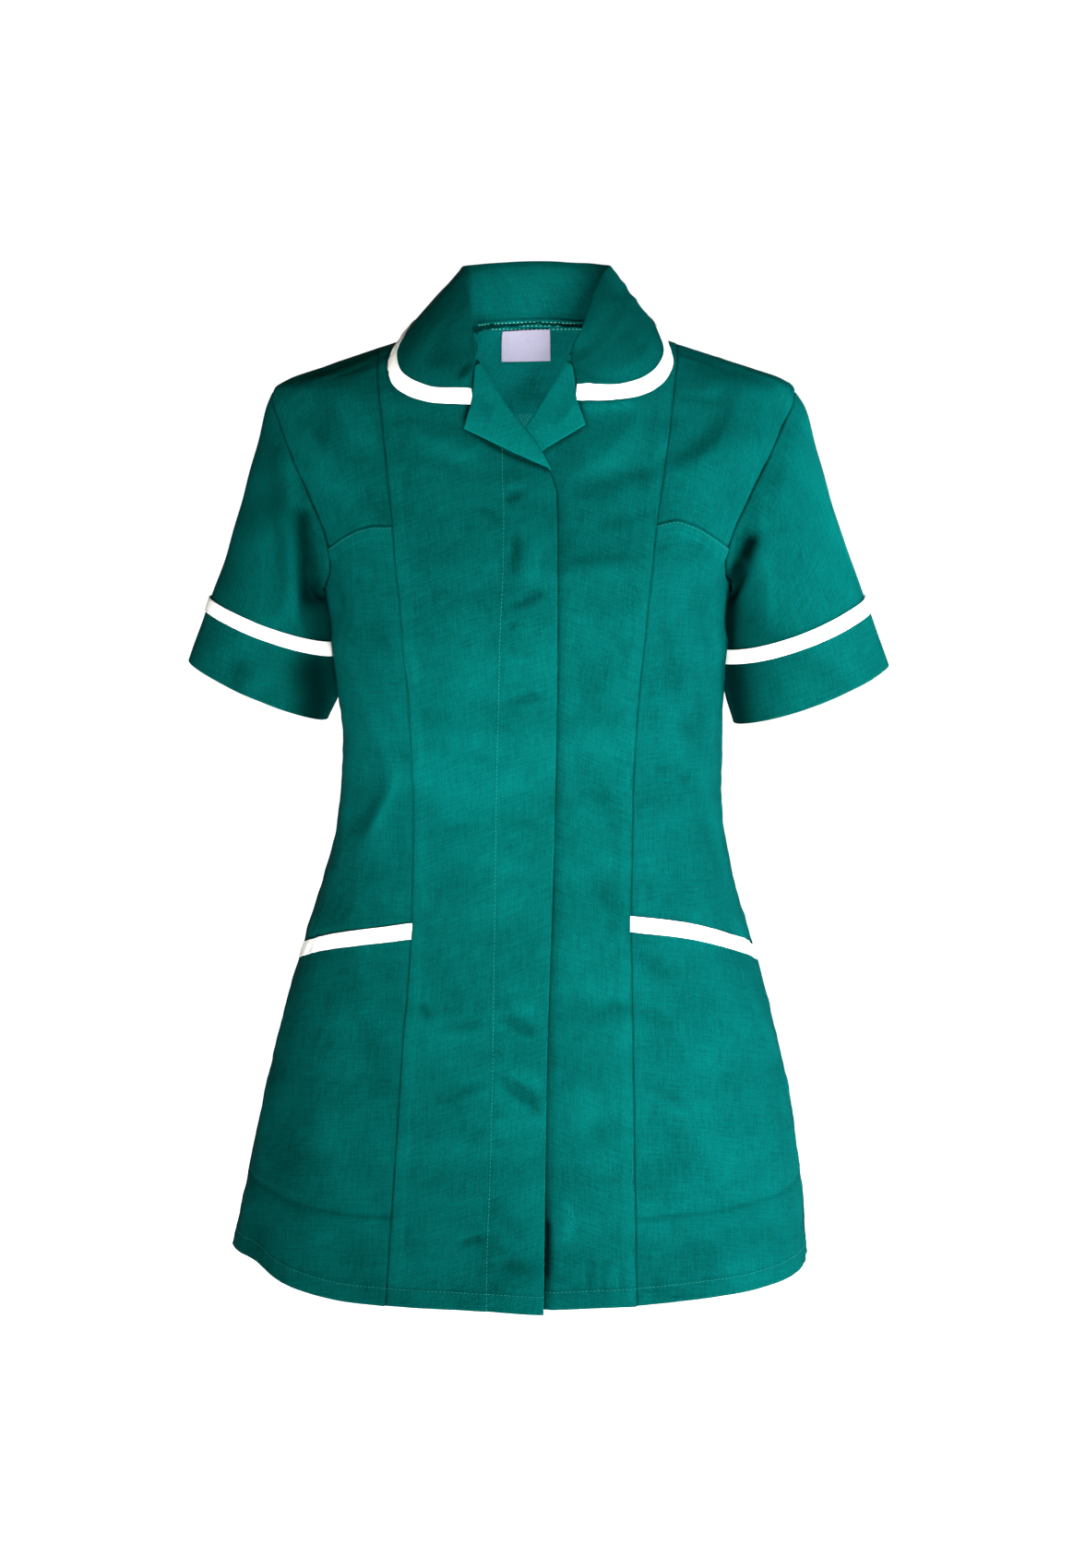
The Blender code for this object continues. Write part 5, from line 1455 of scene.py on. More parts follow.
@dataclass
class Body:
    """The fronts, side fronts, pockets and back."""

    finishes: Materials
    underlap_depth: float = 0.0024
    overlap_start: float = 0.094
    bag_ridge: float = -0.65
    bag_trough: float = -0.6605
    pocket_depth: float = 0.0022
    tape_width: float = 0.0118
    tape_rise: float = 0.00115
    bust_stitch: float = 0.0022

    def sew(self, panel: Panel, thread: str = "", rows: tuple[Array, ...] = ()) -> None:
        """Build a laid panel with its rows of stitches, attach them to the root and hide the CAD part that
        the panel stands for.

        Args:
            panel: The panel.
            thread: Name of its stitches, where it has any.
            rows: Points of its rows of stitches.
        """
        piece = panel.build(self.finishes["cloth"])
        threads = (thread_object(thread, list(rows), self.finishes["thread"]),) if rows else ()
        keep(piece, panel.node, threads)

    def right_edge_place(self, height: Array) -> Array:
        """Sideways place of the right front's edge."""
        return smooth_curve(FRONT_EDGE, height)[..., 0]

    def underlap(self, turn: Array, height: Array) -> Array:
        """How far the left front lies below the right front's edge, easing up beyond it."""
        beyond = TORSO.plain(turn, height)[..., 0] - self.right_edge_place(height)
        return -self.underlap_depth * (1.0 - smooth_step(beyond, 0.001, 0.0065))

    def front_shadow(self, side: Side) -> OnTorso:
        """Painted shade on a front below its lapel, in folds and on the shoulder, and, on the left one,
        beside the right front's edge.
        """

        def shadow(turn: Array, height: Array) -> Array:
            """Shade by the distance from the lapel's edge and from the overlap."""
            across = TORSO.plain(turn, height)[..., 0]
            total = line_shade(FRONT_SHADES[side.word], across, height)
            if side is Side.LEFT:
                beyond = np.clip(across - self.right_edge_place(height), 0.0, None)
                low = smooth_step(-height, 0.62, 0.66) * (1.0 - 0.7 * smooth_step(-height, 0.705, 0.722))
                strength = smooth_step(-height, self.overlap_start, 0.12) * (0.78 + 0.12 * low)
                total = total + strength * bell(beyond, 0.0017 + 0.0026 * low)
                gap = smooth_step(-height, 0.656, 0.669) * (1.0 - smooth_step(-height, 0.693, 0.708))
                total = np.clip(total + 1.1 * gap * bell(beyond - 0.0033, 0.0021), 0.0, 1.0)
            return total

        return shadow

    def placket_rise(self, turn: Array, height: Array, far: Distances) -> Array:
        """The placket's extra layers raise it from its stitch line to the edge, with puckers beside it."""
        across = TORSO.plain(turn, height)[..., 0]
        aside = across - smooth_curve(PLACKET_STITCH, height)[..., 0]
        inside = smooth_step(-height, 0.112, 0.12)
        sunk = -0.00035 * bell(aside, 0.0012)
        wave = np.sin(2 * np.pi * height / 0.026 + 1.9 * unevenness(height, 0.0, 61, 0.05, 0.16, 5))
        strength = 0.35 + 0.65 * smooth_step(-height, 0.42, 0.6)
        pucker = 0.001 * strength * np.clip(wave, -0.2, 1.0) * bell(aside - 0.004, 0.0045)
        stand_off = 0.0034 * smooth_step(-height, 0.6, 0.7) * smooth_step(aside, 0.01, 0.042)
        return inside * (0.0004 * smooth_step(aside, -0.0004, 0.0012) + sunk - pucker) + stand_off

    def front(self, side: Side) -> None:
        """Centre front with its stitching."""
        right = side is Side.RIGHT
        drop = PATTERN.overlap_drop if right else 0.0
        princess = PATTERN.princess(side, PATTERN.shoulder_top(side), PATTERN.princess_foot(side))
        edge = PATTERN.front_edge(side)
        lines = (PATTERN.shoulder(side, PRINCESS[0, 1 + side.column], FRONT_EDGE[0, 1 + side.column]),
                 PATTERN.hem(princess.turn[-1], edge.turn[-1], drop), princess, edge)
        panel = Panel(
            f"front_{side.word}", lines,
            {"top": Edge.SEAM, "foot": Edge.HEM, "left": Edge.LIPPED,
             "right": Edge.FOLD if right else Edge.LOST},
            (0.14, 0.74), 0.084, cell=0.0025, seed=11 + side.value, depth=None if right else self.underlap,
            extra=self.placket_rise if right else None, shadow=self.front_shadow(side))
        panel.lay()
        rows = [panel.stitch_from("foot", SEWING.hem_depth, 0.02, 0.99 if right else 0.8)]
        if right:
            height = panel.cloth.points[..., 2]
            aside = panel.cloth.points[..., 0] - smooth_curve(PLACKET_STITCH, height)[..., 0]
            start = float(np.mean(panel.far["top"][:, 0] < 0.098))
            rows.append(panel.stitch_where(aside, 1, start, 0.995))
        self.sew(panel, f"thread_front_{side.word}", tuple(rows))

    def side_front_upper(self, side: Side) -> None:
        """Side front above the bust seam."""
        bust = PATTERN.bust(side)
        lines = (PATTERN.shoulder(side, PRINCESS[0, 1 + side.column], PATTERN.armhole_place(side, 0.0)), bust,
                 PATTERN.princess(side, PATTERN.shoulder_top(side), float(bust.height[0])),
                 PATTERN.armhole(side, 0.0, BUST_ANGLE))
        panel = Panel(f"side_front_upper_{side.word}", lines, {edge: Edge.SEAM for edge in SIDES},
                      (0.11, 0.15), 0.015, seed=23 + side.value, shadow=self.front_shadow(side))
        panel.lay()
        self.sew(panel)

    def behind_pocket(self, side: Side) -> OnTorso:
        """How far the side front dips behind the pocket front, from just above its mouth."""
        mouth = PATTERN.pocket_mouth(side)

        def depth(turn: Array, height: Array) -> Array:
            """Depth by the height above the mouth at the same angle."""
            order = np.argsort(mouth.turn)
            level = np.interp(turn, mouth.turn[order], mouth.height[order])
            return -self.pocket_depth * (1.0 - smooth_step(height - level, -0.004, 0.005))

        return depth

    def side_front_lower(self, side: Side) -> None:
        """Side front below the bust seam, down behind the pocket to the foot of its bag."""
        bust, bag = PATTERN.bust(side), PATTERN.bag_foot(side)
        lines = (bust, bag, PATTERN.princess(side, float(bust.height[0]), float(bag.height[0])),
                 PATTERN.armhole(side, BUST_ANGLE, np.pi).then(
                     PATTERN.side_seam(side, ARMHOLE_FOOT, float(bag.height[-1]))))
        panel = Panel(f"side_front_lower_{side.word}", lines,
                      {"top": Edge.LIPPED, "foot": Edge.LOST, "left": Edge.SEAM, "right": Edge.SEAM},
                      (0.14, 0.52), 0.07, seed=31 + side.value, depth=self.behind_pocket(side))
        panel.lay()
        self.sew(panel, f"thread_side_front_{side.word}",
                 (panel.stitch_from("top", self.bust_stitch, 0.03, 0.97),))

    def above_bag(self, turn: Array, height: Array) -> tuple[Array, Array, Array]:
        """Share of the way to the side seam, and heights above the bag's upper and lower line."""
        share = np.clip(np.abs(turn) / (np.pi / 2), 0.0, 1.0)
        rise = smooth_step(share, 0.35, 1.05)
        return share, height - (self.bag_ridge + 0.005 * rise), height - (self.bag_trough + 0.0125 * rise)

    def bag_shadow(self, side: Side) -> OnTorso:
        """Painted shade: a faint dark line along the trough that the pocket's bag presses through, and on the
        wearer's right a darkening towards the side seam.
        """

        def shadow(turn: Array, height: Array) -> Array:
            """Shade by the height above the trough and, on the right, by the share of the way to the side
            seam.
            """
            share, _, above = self.above_bag(turn, height)
            line = 0.2 * bell(above, 0.0015) * (1.0 - 0.5 * smooth_step(share, 0.6, 0.9))
            return line + (0.17 * smooth_step(share, 0.5, 0.85) if side is Side.RIGHT else 0.0)

        return shadow

    def bag_lines(self, turn: Array, height: Array, far: Distances) -> Array:
        """Two stitched lines of the pocket's bag, pressed through the pocket front from behind.

        A ridge runs along the bag's foot and a trough a little below it, and both ease out near the side.
        """
        _, ridge, trough = self.above_bag(turn, height)
        total = 0.0005 * bell(ridge, 0.0024) - 0.00075 * bell(trough, 0.002)
        return total * smooth_step(far["right"], 0.004, 0.03)

    def pocket(self, side: Side) -> None:
        """Pocket front with its tape, lying over the side front."""
        mouth = PATTERN.pocket_mouth(side)
        princess = PATTERN.princess(side, float(mouth.height[0]), PATTERN.princess_foot(side))
        seam = PATTERN.side_seam(side, float(mouth.height[-1]), PATTERN.side_hem(side))
        lines = (mouth, PATTERN.hem(princess.turn[-1], side.value * np.pi / 2), princess, seam)
        panel = Panel(f"pocket_front_{side.word}", lines,
                      {"top": Edge.FOLD, "foot": Edge.HEM, "left": Edge.SEAM, "right": Edge.SEAM},
                      (0.19, 0.29), 0.048, seed=43 + side.value, extra=self.bag_lines,
                      shadow=self.bag_shadow(side))
        panel.lay()
        self.sew(panel, f"thread_pocket_{side.word}",
                 (panel.stitch_from("foot", SEWING.hem_depth, 0.02, 0.98),))
        self.pocket_tape(side, panel)

    def pocket_tape(self, side: Side, panel: Panel) -> None:
        """Tape on the pocket's mouth: the pocket front's own top rows, moved out, with rounded edges."""
        points, outward = edge_band(panel.cloth, panel.far["top"], tape_rows(self.tape_width), 1e-5)
        points = points + outward * self.tape_rise
        tape(f"tape_pocket_{side.word}", f"pocket_tape_{side.word}", points, outward, (0.14, 0.0125), None,
             self.finishes, (f"pocket_front_{side.word}",))

    def back(self) -> None:
        """The back, in one piece."""
        shoulders = [PATTERN.armhole_place(side, 0.0) for side in (Side.RIGHT, Side.LEFT)]
        right = PATTERN.shoulder(Side.RIGHT, shoulders[0], -0.06)
        left = PATTERN.shoulder(Side.LEFT, 0.06, shoulders[1])
        right = SeamLine(right.turn % (2 * np.pi), right.height)
        top = right.then(PATTERN.back_neck()).then(left)
        edges = []
        for side in (Side.RIGHT, Side.LEFT):
            seam = PATTERN.side_seam(side, ARMHOLE_FOOT, PATTERN.side_hem(side))
            line = PATTERN.armhole(side, 2 * np.pi, np.pi).then(seam)
            edges.append(SeamLine(line.turn % (2 * np.pi), line.height))
        edges[0].turn[0], edges[1].turn[0] = 1.5 * np.pi, 0.5 * np.pi
        lines = (top, PATTERN.hem(1.5 * np.pi, 0.5 * np.pi), edges[0], edges[1])
        panel = Panel("back", lines,
                      {"top": Edge.SEAM, "foot": Edge.HEM, "left": Edge.LIPPED, "right": Edge.LIPPED},
                      (0.56, 0.75), 0.335, cell=0.0034, seed=57)
        panel.lay()
        self.sew(panel, "thread_back", (panel.stitch_from("foot", SEWING.hem_depth, 0.01, 0.99),))

    def build(self) -> None:
        """Build every piece of the body."""
        for side in Side:
            self.front(side)
            self.side_front_upper(side)
            self.side_front_lower(side)
            self.pocket(side)
        self.back()


TAPE_STITCH = 0.0014


def tape_rows(width: float) -> Array:
    """Distances across a tape: even in its middle and close together at its rounded edges."""
    near = np.array((0.0, 0.00015, 0.0004, 0.0008))
    return np.concatenate((near, np.linspace(TAPE_STITCH, width - TAPE_STITCH, 10), width - near[::-1]))


def edge_band(cloth: Cloth, run: Array, rows: Array, least: float) -> Pair:
    """Points and normals of a grid of cloth along lines at set distances from one of its edges.

    Args:
        cloth: The grid.
        run: Distance of each of its points from the edge.
        rows: Distances of the lines.
        least: Smallest distance that is looked for.

    Returns:
        Points and normals, a row for each line.
    """
    columns = np.arange(run.shape[1], dtype=float)
    places = [crossing(run - max(away, least), 0)[0] for away in rows]
    return (np.array([on_grid(cloth.points, row, columns) for row in places]),
            np.array([unit(on_grid(cloth.outward, row, columns)) for row in places]))


def tape(name: str, node: str, points: Array, outward: Array, size: tuple[float, float], area: float | None,
         finishes: Materials, rests: tuple[str, ...], closed: bool = False) -> None:
    """White woven tape: a thin wall on a grid whose rows run along it, with both edges rounded and stitched.

    Args:
        name: Name of the piece.
        node: CAD node that it stands for.
        points: Grid of its middle, rows across the tape's width in order.
        outward: Normals there.
        size: Flat width and length; not used.
        area: Flat area; not used.
        finishes: The materials.
        rests: What it is sewn on; not used.
        closed: Whether the rows are rings.
    """
    far = edge_distances(points)
    near = np.minimum(far["top"], far["foot"])
    half = 0.00034 * (0.25 + 0.75 * np.sqrt(1.0 - (1.0 - np.clip(near / 0.0006, 0.0, 1.0)) ** 2))
    ribs = 0.00006 * unevenness(far["left"], far["top"], 5, 0.006, 0.03, 8)
    off_stitch = [(far[side] - TAPE_STITCH) / 0.0006 for side in ("top", "foot")]
    relief = ribs - 0.00016 * (np.exp(-off_stitch[0] ** 2) + np.exp(-off_stitch[1] ** 2))
    flat = closed_round(flat_places(far), points) if closed else flat_places(far)
    laid = points + outward * relief[..., None]
    cloth = Cloth(laid, outward, flat, relief, np.zeros_like(half), half, closed)
    made = shell_object(name, cloth, finishes["tape"])
    stitching = Stitching(pitch=0.0028, length=0.0021, radius=0.00016)
    rows = [stitching.on_cloth(cloth.surface, outward, *crossing(far[side] - TAPE_STITCH, 0))
            for side in ("top", "foot")]
    thread = thread_object(name.replace("tape", "thread_tape"), rows, finishes["tape_thread"])
    keep(made, node, (thread,))


# ---- sleeves
@dataclass
class Sleeve:
    """One sleeve with its cuff band and the tape between them."""

    side: Side
    finishes: Materials
    columns: int = 150
    cell: float = 0.0026
    cuff_rise: float = 0.0005
    tape_rise: float = 0.0016
    radius: float = 0.05

    def rings(self, angle: Array) -> Pair:
        """The armhole and the sleeve's rings at given angles, and the distance walked to each ring."""
        turn, height = TORSO.armhole(self.side, angle)
        rings = [TORSO.plain(turn, height) + TORSO.normal(turn, height) * 0.0006]
        for outer_x, outer_z, inner_x, inner_z, front, back, scoop, sag, lean in SLEEVE_RINGS[self.side.word]:
            share, sine = 0.5 + 0.5 * np.cos(angle), np.sin(angle)
            reach = sine * (1.0 - scoop * np.cos(angle)) / (1.0 + 0.2 * scoop)
            forward = np.where(sine >= 0.0, front, back) * reach + lean * (1.0 - share) ** 5
            across = inner_x + (outer_x - inner_x) * share
            up = inner_z + (outer_z - inner_z) * share
            up = up - sag * 4.0 * share * (1.0 - share) * smooth_step(sine, -0.3, 0.3)
            rings.append(np.stack((across, -forward, up), axis=-1))
        rings = np.array(rings)
        steps = np.linalg.norm(np.diff(rings, axis=0), axis=-1).mean(axis=1)
        run = np.concatenate(((0.0,), np.cumsum(steps)))
        return rings, run

    def sheet(self, start: float, end: float, rise: float, edges: Edges, seed: int) -> Cloth:
        """Cloth between two distances down the sleeve: smooth curves down through the rings.

        Args:
            start: Distance from the armhole where it starts.
            end: Distance where it ends.
            rise: How far it stands out.
            edges: Finish of its top and foot.
            seed: Seed of its puckers.

        Returns:
            The grid of cloth.
        """
        angle = np.arange(self.columns) * 2 * np.pi / self.columns
        rings, run = self.rings(angle)
        place = start + (end - start) * spaced_shares(end - start, self.cell, SEWING.fine)
        table = np.concatenate((run[:, None], rings.reshape(len(run), -1)), axis=1)
        plain = smooth_curve(table, place).reshape(len(place), self.columns, 3)
        rough = plain - plain.mean(axis=1, keepdims=True)
        normal = grid_normals(plain, rough, True)
        far = edge_distances(plain)
        sine = np.sin(angle)[None, :]
        word, across, up = self.side.word, plain[..., 0], plain[..., 2]
        in_front, behind = (crease_relief(SLEEVE_CREASES[f"{word}_{part}"], across, up)
                            for part in ("front", "back"))
        relief = in_front * smooth_step(sine, 0.0, 0.35) + behind * smooth_step(-sine, 0.0, 0.35)
        turns = far["left"] / far["left"][:, -1:] * 2 * np.pi
        waves = unevenness(np.sin(turns) * self.radius, up + np.cos(turns) * self.radius, seed,
                           0.03, 0.09, 14)
        relief = relief + 0.0003 * waves
        relief = relief + edge_relief(edges, far, seed)
        points = plain + normal * (relief + rise)[..., None]
        outward = grid_normals(points, normal, True)
        middle, half = wall_sizes(edges, far, SEWING.wall, SEWING.doubled)
        flat = closed_round(flat_places(far, start), points)
        # Painted shade deep in the folds and on the cuffs, on the front half, and along seams; the relief
        # attribute also carries painted highlights along edges.
        shade = line_shade(SLEEVE_SHADES[word], across, up) * smooth_step(sine, -0.05, 0.15)
        shade = shade + edge_shade(edges, far)
        return Cloth(points, outward, flat, relief + edge_wear(edges, far), middle, half, True, shade)

    def with_allowance(self, cloth: Cloth) -> Cloth:
        """The sleeve with its armhole allowance turned in below the body's edge."""
        first = cloth.points[:1]
        below = unit(first - cloth.points[1:2]) * 0.8 - cloth.outward[:1]
        strips = [first + below * depth for depth in SEWING.turn_in[::-1]]
        grids = {key: np.concatenate((grid[:1], grid[:1], grid))
                 for key, grid in vars(cloth).items() if key not in ("points", "closed")}
        return Cloth(points=np.concatenate((*strips, cloth.points)), closed=True, **grids)

    def build(self) -> None:
        """Build sleeve, cuff band and tape."""
        _, run = self.rings(np.arange(48) * 2 * np.pi / 48)
        tape_top, tape_foot, hem = run[TAPE_TOP_RING], run[TAPE_FOOT_RING], run[-1]
        middle = 0.5 * (tape_top + tape_foot)
        word = self.side.word
        body = self.sheet(0.0, middle, 0.0, {"top": Edge.SEAM}, 71 + self.side.value)
        sleeve = shell_object(f"cloth_sleeve_{word}", self.with_allowance(body), self.finishes["cloth"])
        keep(sleeve, f"sleeve_{word}")
        band = self.sheet(middle, hem, self.cuff_rise, {"foot": Edge.FOLD}, 71 + self.side.value)
        cuff = shell_object(f"cloth_cuff_{word}", band, self.finishes["cloth"])
        keep(cuff, f"cuff_{word}")
        strip = self.sheet(tape_top, tape_foot, self.tape_rise, {}, 71 + self.side.value)
        tape(f"tape_sleeve_{word}", f"sleeve_tape_{word}", strip.points, strip.outward, (0.35, 0.012), None,
             self.finishes, (f"sleeve_{word}",), closed=True)


# ---- collar and lapels
@dataclass
class Collar:
    """Collar in one piece with its tape: stand, roll and fall."""

    finishes: Materials
    stations: int = 230
    tape_width: float = 0.0124
    wall: float = 0.0013
    stand_stitch: float = 0.0066
    hidden_columns: int = 30
    tape_rise: float = 0.0011

    def point(self, across: Array, along: Array) -> Array:
        """Point of the collar: across from neck seam to edge, along from its right end to its left.

        At each place along, a smooth curve runs through the neck seam, just before the fold, the fold
        line, just after it, the crown of the fall and the outer edge.
        """
        stations = np.linspace(0.0, 1.0, len(COLLAR))
        row = smooth_curve(np.column_stack((stations, COLLAR)), along)
        seam, roll, edge = row[..., 0:3], row[..., 3:6], row[..., 6:9]
        fold, crown = row[..., 9:10], row[..., 10:11]
        up = unit(roll - seam)
        out = edge - roll
        out = unit(out - up * np.sum(out * up, axis=-1, keepdims=True))
        before, after = roll - (up + out) * fold, roll + (out - up) * fold
        away = np.concatenate((roll[..., :1], roll[..., 1:2] - 0.01, np.full_like(fold, 0.03)), axis=-1)
        controls = np.stack((seam, before, roll, after, 0.5 * (after + edge) + unit(away) * crown, edge))
        slopes = np.gradient(controls, COLLAR_KNOTS, axis=0)
        span = np.clip(np.searchsorted(COLLAR_KNOTS, across, side="right") - 1, 0, len(COLLAR_KNOTS) - 2)
        width = (COLLAR_KNOTS[span + 1] - COLLAR_KNOTS[span])[..., None]
        part = ((across - COLLAR_KNOTS[span]) / width[..., 0])[..., None]
        place = tuple(np.indices(span.shape))
        before, after = (span,) + place, (span + 1,) + place
        return cubic(part, width, (controls[before], controls[after]), (slopes[before], slopes[after]))

    def grid(self, across: Array) -> Pair:
        """Points and outward normals at places across, a row for each, columns along the collar."""
        along = spaced_shares(0.4, 0.4 / self.stations, SEWING.fine)
        u, v = np.meshgrid(across, along, indexing="ij")
        points = self.point(u, v)
        step = 5e-4
        uc, vc = np.clip(u, step, 1 - step), np.clip(v, step, 1 - step)
        d_across = self.point(uc + step, vc) - self.point(uc - step, vc)
        d_along = self.point(uc, vc + step) - self.point(uc, vc - step)
        return points, unit(np.cross(d_along, d_across))

    def build(self) -> None:
        """Build the collar and its tape."""
        fine = 1.0 - np.array((0.0, 0.002, 0.005, 0.01, 0.018))
        across = np.unique(np.concatenate((np.linspace(-0.018, 0.33, 20), np.linspace(0.335, 0.465, 22),
                                           np.linspace(0.48, 0.97, 34), fine)))
        points, normal = self.grid(across)
        far = edge_distances(points)
        fall = smooth_step(across, 0.42, 0.5)[:, None]
        relief = crease_relief(COLLAR_CREASES, points[..., 0], points[..., 2]) * fall
        relief = relief + 0.00022 * unevenness(far["left"], far["top"], 91, 0.02, 0.07, 12)
        kinds = {"foot": Edge.FOLD, "left": Edge.FOLD, "right": Edge.FOLD}
        relief = relief + edge_relief(kinds, far, 95)
        relief = relief - 0.0003 * bell(far["top"] - self.stand_stitch, 0.001)
        laid = points + normal * relief[..., None]
        outward = grid_normals(laid, normal, False)
        _, half = wall_sizes(kinds, far, self.wall, 0.0)
        cloth = Cloth(laid, outward, flat_places(far), relief, np.zeros_like(half), half)
        piece = shell_object("cloth_collar", cloth, self.finishes["cloth"])
        seen = slice(self.hidden_columns, -self.hidden_columns)
        row, column = (place[seen] for place in crossing(far["top"] - self.stand_stitch, 0))
        inner = cloth.points - cloth.outward * (half + 0.00002)[..., None]
        stitches = Stitching().on_cloth(inner, -outward, row, column)
        thread = thread_object("thread_collar", [stitches], self.finishes["neck_thread"])
        keep(piece, "collar", (thread,))
        self.tape(cloth, far)

    def tape(self, cloth: Cloth, far: Distances) -> None:
        """Tape along the outer edge, on top of the fall."""
        points, outward = edge_band(cloth, far["foot"], tape_rows(self.tape_width)[::-1], 1e-6)
        tape("tape_collar", "collar_tape", points + outward * self.tape_rise, outward, (0.58, 0.0124), None,
             self.finishes, ("collar",))


@dataclass
class Lapel:
    """One lapel: the facing's top turned out over the front, rolled along the fold line."""

    side: Side
    finishes: Materials
    underlap: OnTorso
    rise: float = 0.0019
    top_rise: float = 0.0026
    spring: float = 0.0085
    inside: float = 0.0014
    hidden: float = 0.005
    tail: float = 0.012
    length: float = 0.075
    width: float = 0.05
    cell: float = 0.0014
    wall: float = 0.0011

    def outline(self) -> tuple[Array, float, float]:
        """Outer line by its share (top, notch and point), and the heights where the fold starts and ends."""
        if self.side is Side.RIGHT:
            line, foot = ((0.0, -44.6, -39), (0.56, -46.8, -66), (1.0, -51.4, -84.8)), -0.1085
        else:
            line, foot = ((0.0, 26.4, -38.5), (0.6, 29, -64), (1.0, 34.6, -81.8)), -0.099
        return metres(line, kept=(0,)), -0.035, foot

    def build(self) -> None:
        """Build the lapel.

        Its flat part blends from the outer line to the fold line.  Past the fold line the cloth goes
        round a half circle between its outer and inner heights, and ends a little way inside.
        """
        line, fold_top, fold_foot = self.outline()
        down = spaced_shares(self.length, self.cell, SEWING.fine[:3])[:, None]
        share = spaced_shares(self.width, self.cell, SEWING.fine[:3])[None, :]
        fold_height = fold_top + (fold_foot - fold_top) * down
        fold_across = smooth_curve(FRONT_EDGE, fold_height)[..., self.side.column]
        if self.side is Side.LEFT:
            fold_across = np.maximum(fold_across, smooth_curve(FRONT_EDGE, fold_height)[..., 0] - self.hidden)
        outer_across, outer_height = (np.interp(down, line[:, 0], line[:, column]) for column in (1, 2))
        height = outer_height * (1 - share) + fold_height * share
        across = outer_across * (1 - share) + fold_across * share
        turn = TORSO.turn_at(across, height)
        plain, normal = TORSO.plain(turn, height), TORSO.normal(turn, height)
        deep = self.underlap(turn, height) if self.side is Side.LEFT else np.zeros_like(height)
        away = 1.0 - share
        lift = self.rise + deep + self.top_rise * (1.0 - down) * away ** 0.5
        lift = lift + self.spring * away ** 1.2 * smooth_step(down, 0.15, 0.9)
        flat_part = plain + normal * lift[..., None]
        base, out = plain[:, -1], normal[:, -1]
        forward = unit(plain[:, -1] - plain[:, -8])
        high = self.rise + deep[:, -1]
        low = -self.inside + deep[:, -1]
        radius = (high - low) / 2
        bend = np.linspace(0.0, np.pi, 13)[1:]
        roll = (base[:, None] + forward[:, None] * (radius[:, None] * np.sin(bend))[..., None]
                + out[:, None] * (low[:, None] + radius[:, None] * (1 + np.cos(bend)))[..., None])
        back = np.linspace(0.0, self.tail, 7)[1:]
        tail = base[:, None] - forward[:, None] * back[None, :, None] + out[:, None] * low[:, None, None]
        points = np.concatenate((flat_part, roll, tail), axis=1)
        far = edge_distances(points)
        kinds = {"left": Edge.FOLD, "foot": Edge.FOLD, "top": Edge.LOST}
        relief = crease_relief(LAPEL_CREASES, points[..., 0], points[..., 2])
        relief = relief * smooth_step(far["right"], 0.014, 0.026)
        relief = relief + edge_relief(kinds, far, 103 + self.side.value)
        mean = normal[:, : normal.shape[1] // 2].mean(axis=(0, 1))
        outward = grid_normals(points, mean * np.ones_like(points), False)
        first = grid_normals(flat_part, normal, False)
        if np.einsum("ij,ij->", outward[:, 3], first[:, 3]) < 0.0:
            outward = -outward
        laid = points + outward * relief[..., None]
        _, half = wall_sizes(kinds, far, self.wall, 0.0)
        # The relief attribute carries painted highlights along the lapel's folded edges.
        shown = relief + edge_wear(kinds, far)
        cloth = Cloth(laid, outward, flat_places(far), shown, np.zeros_like(half), half)
        piece = shell_object(f"cloth_lapel_{self.side.word}", cloth, self.finishes["facing"])
        keep(piece, f"lapel_{self.side.word}")


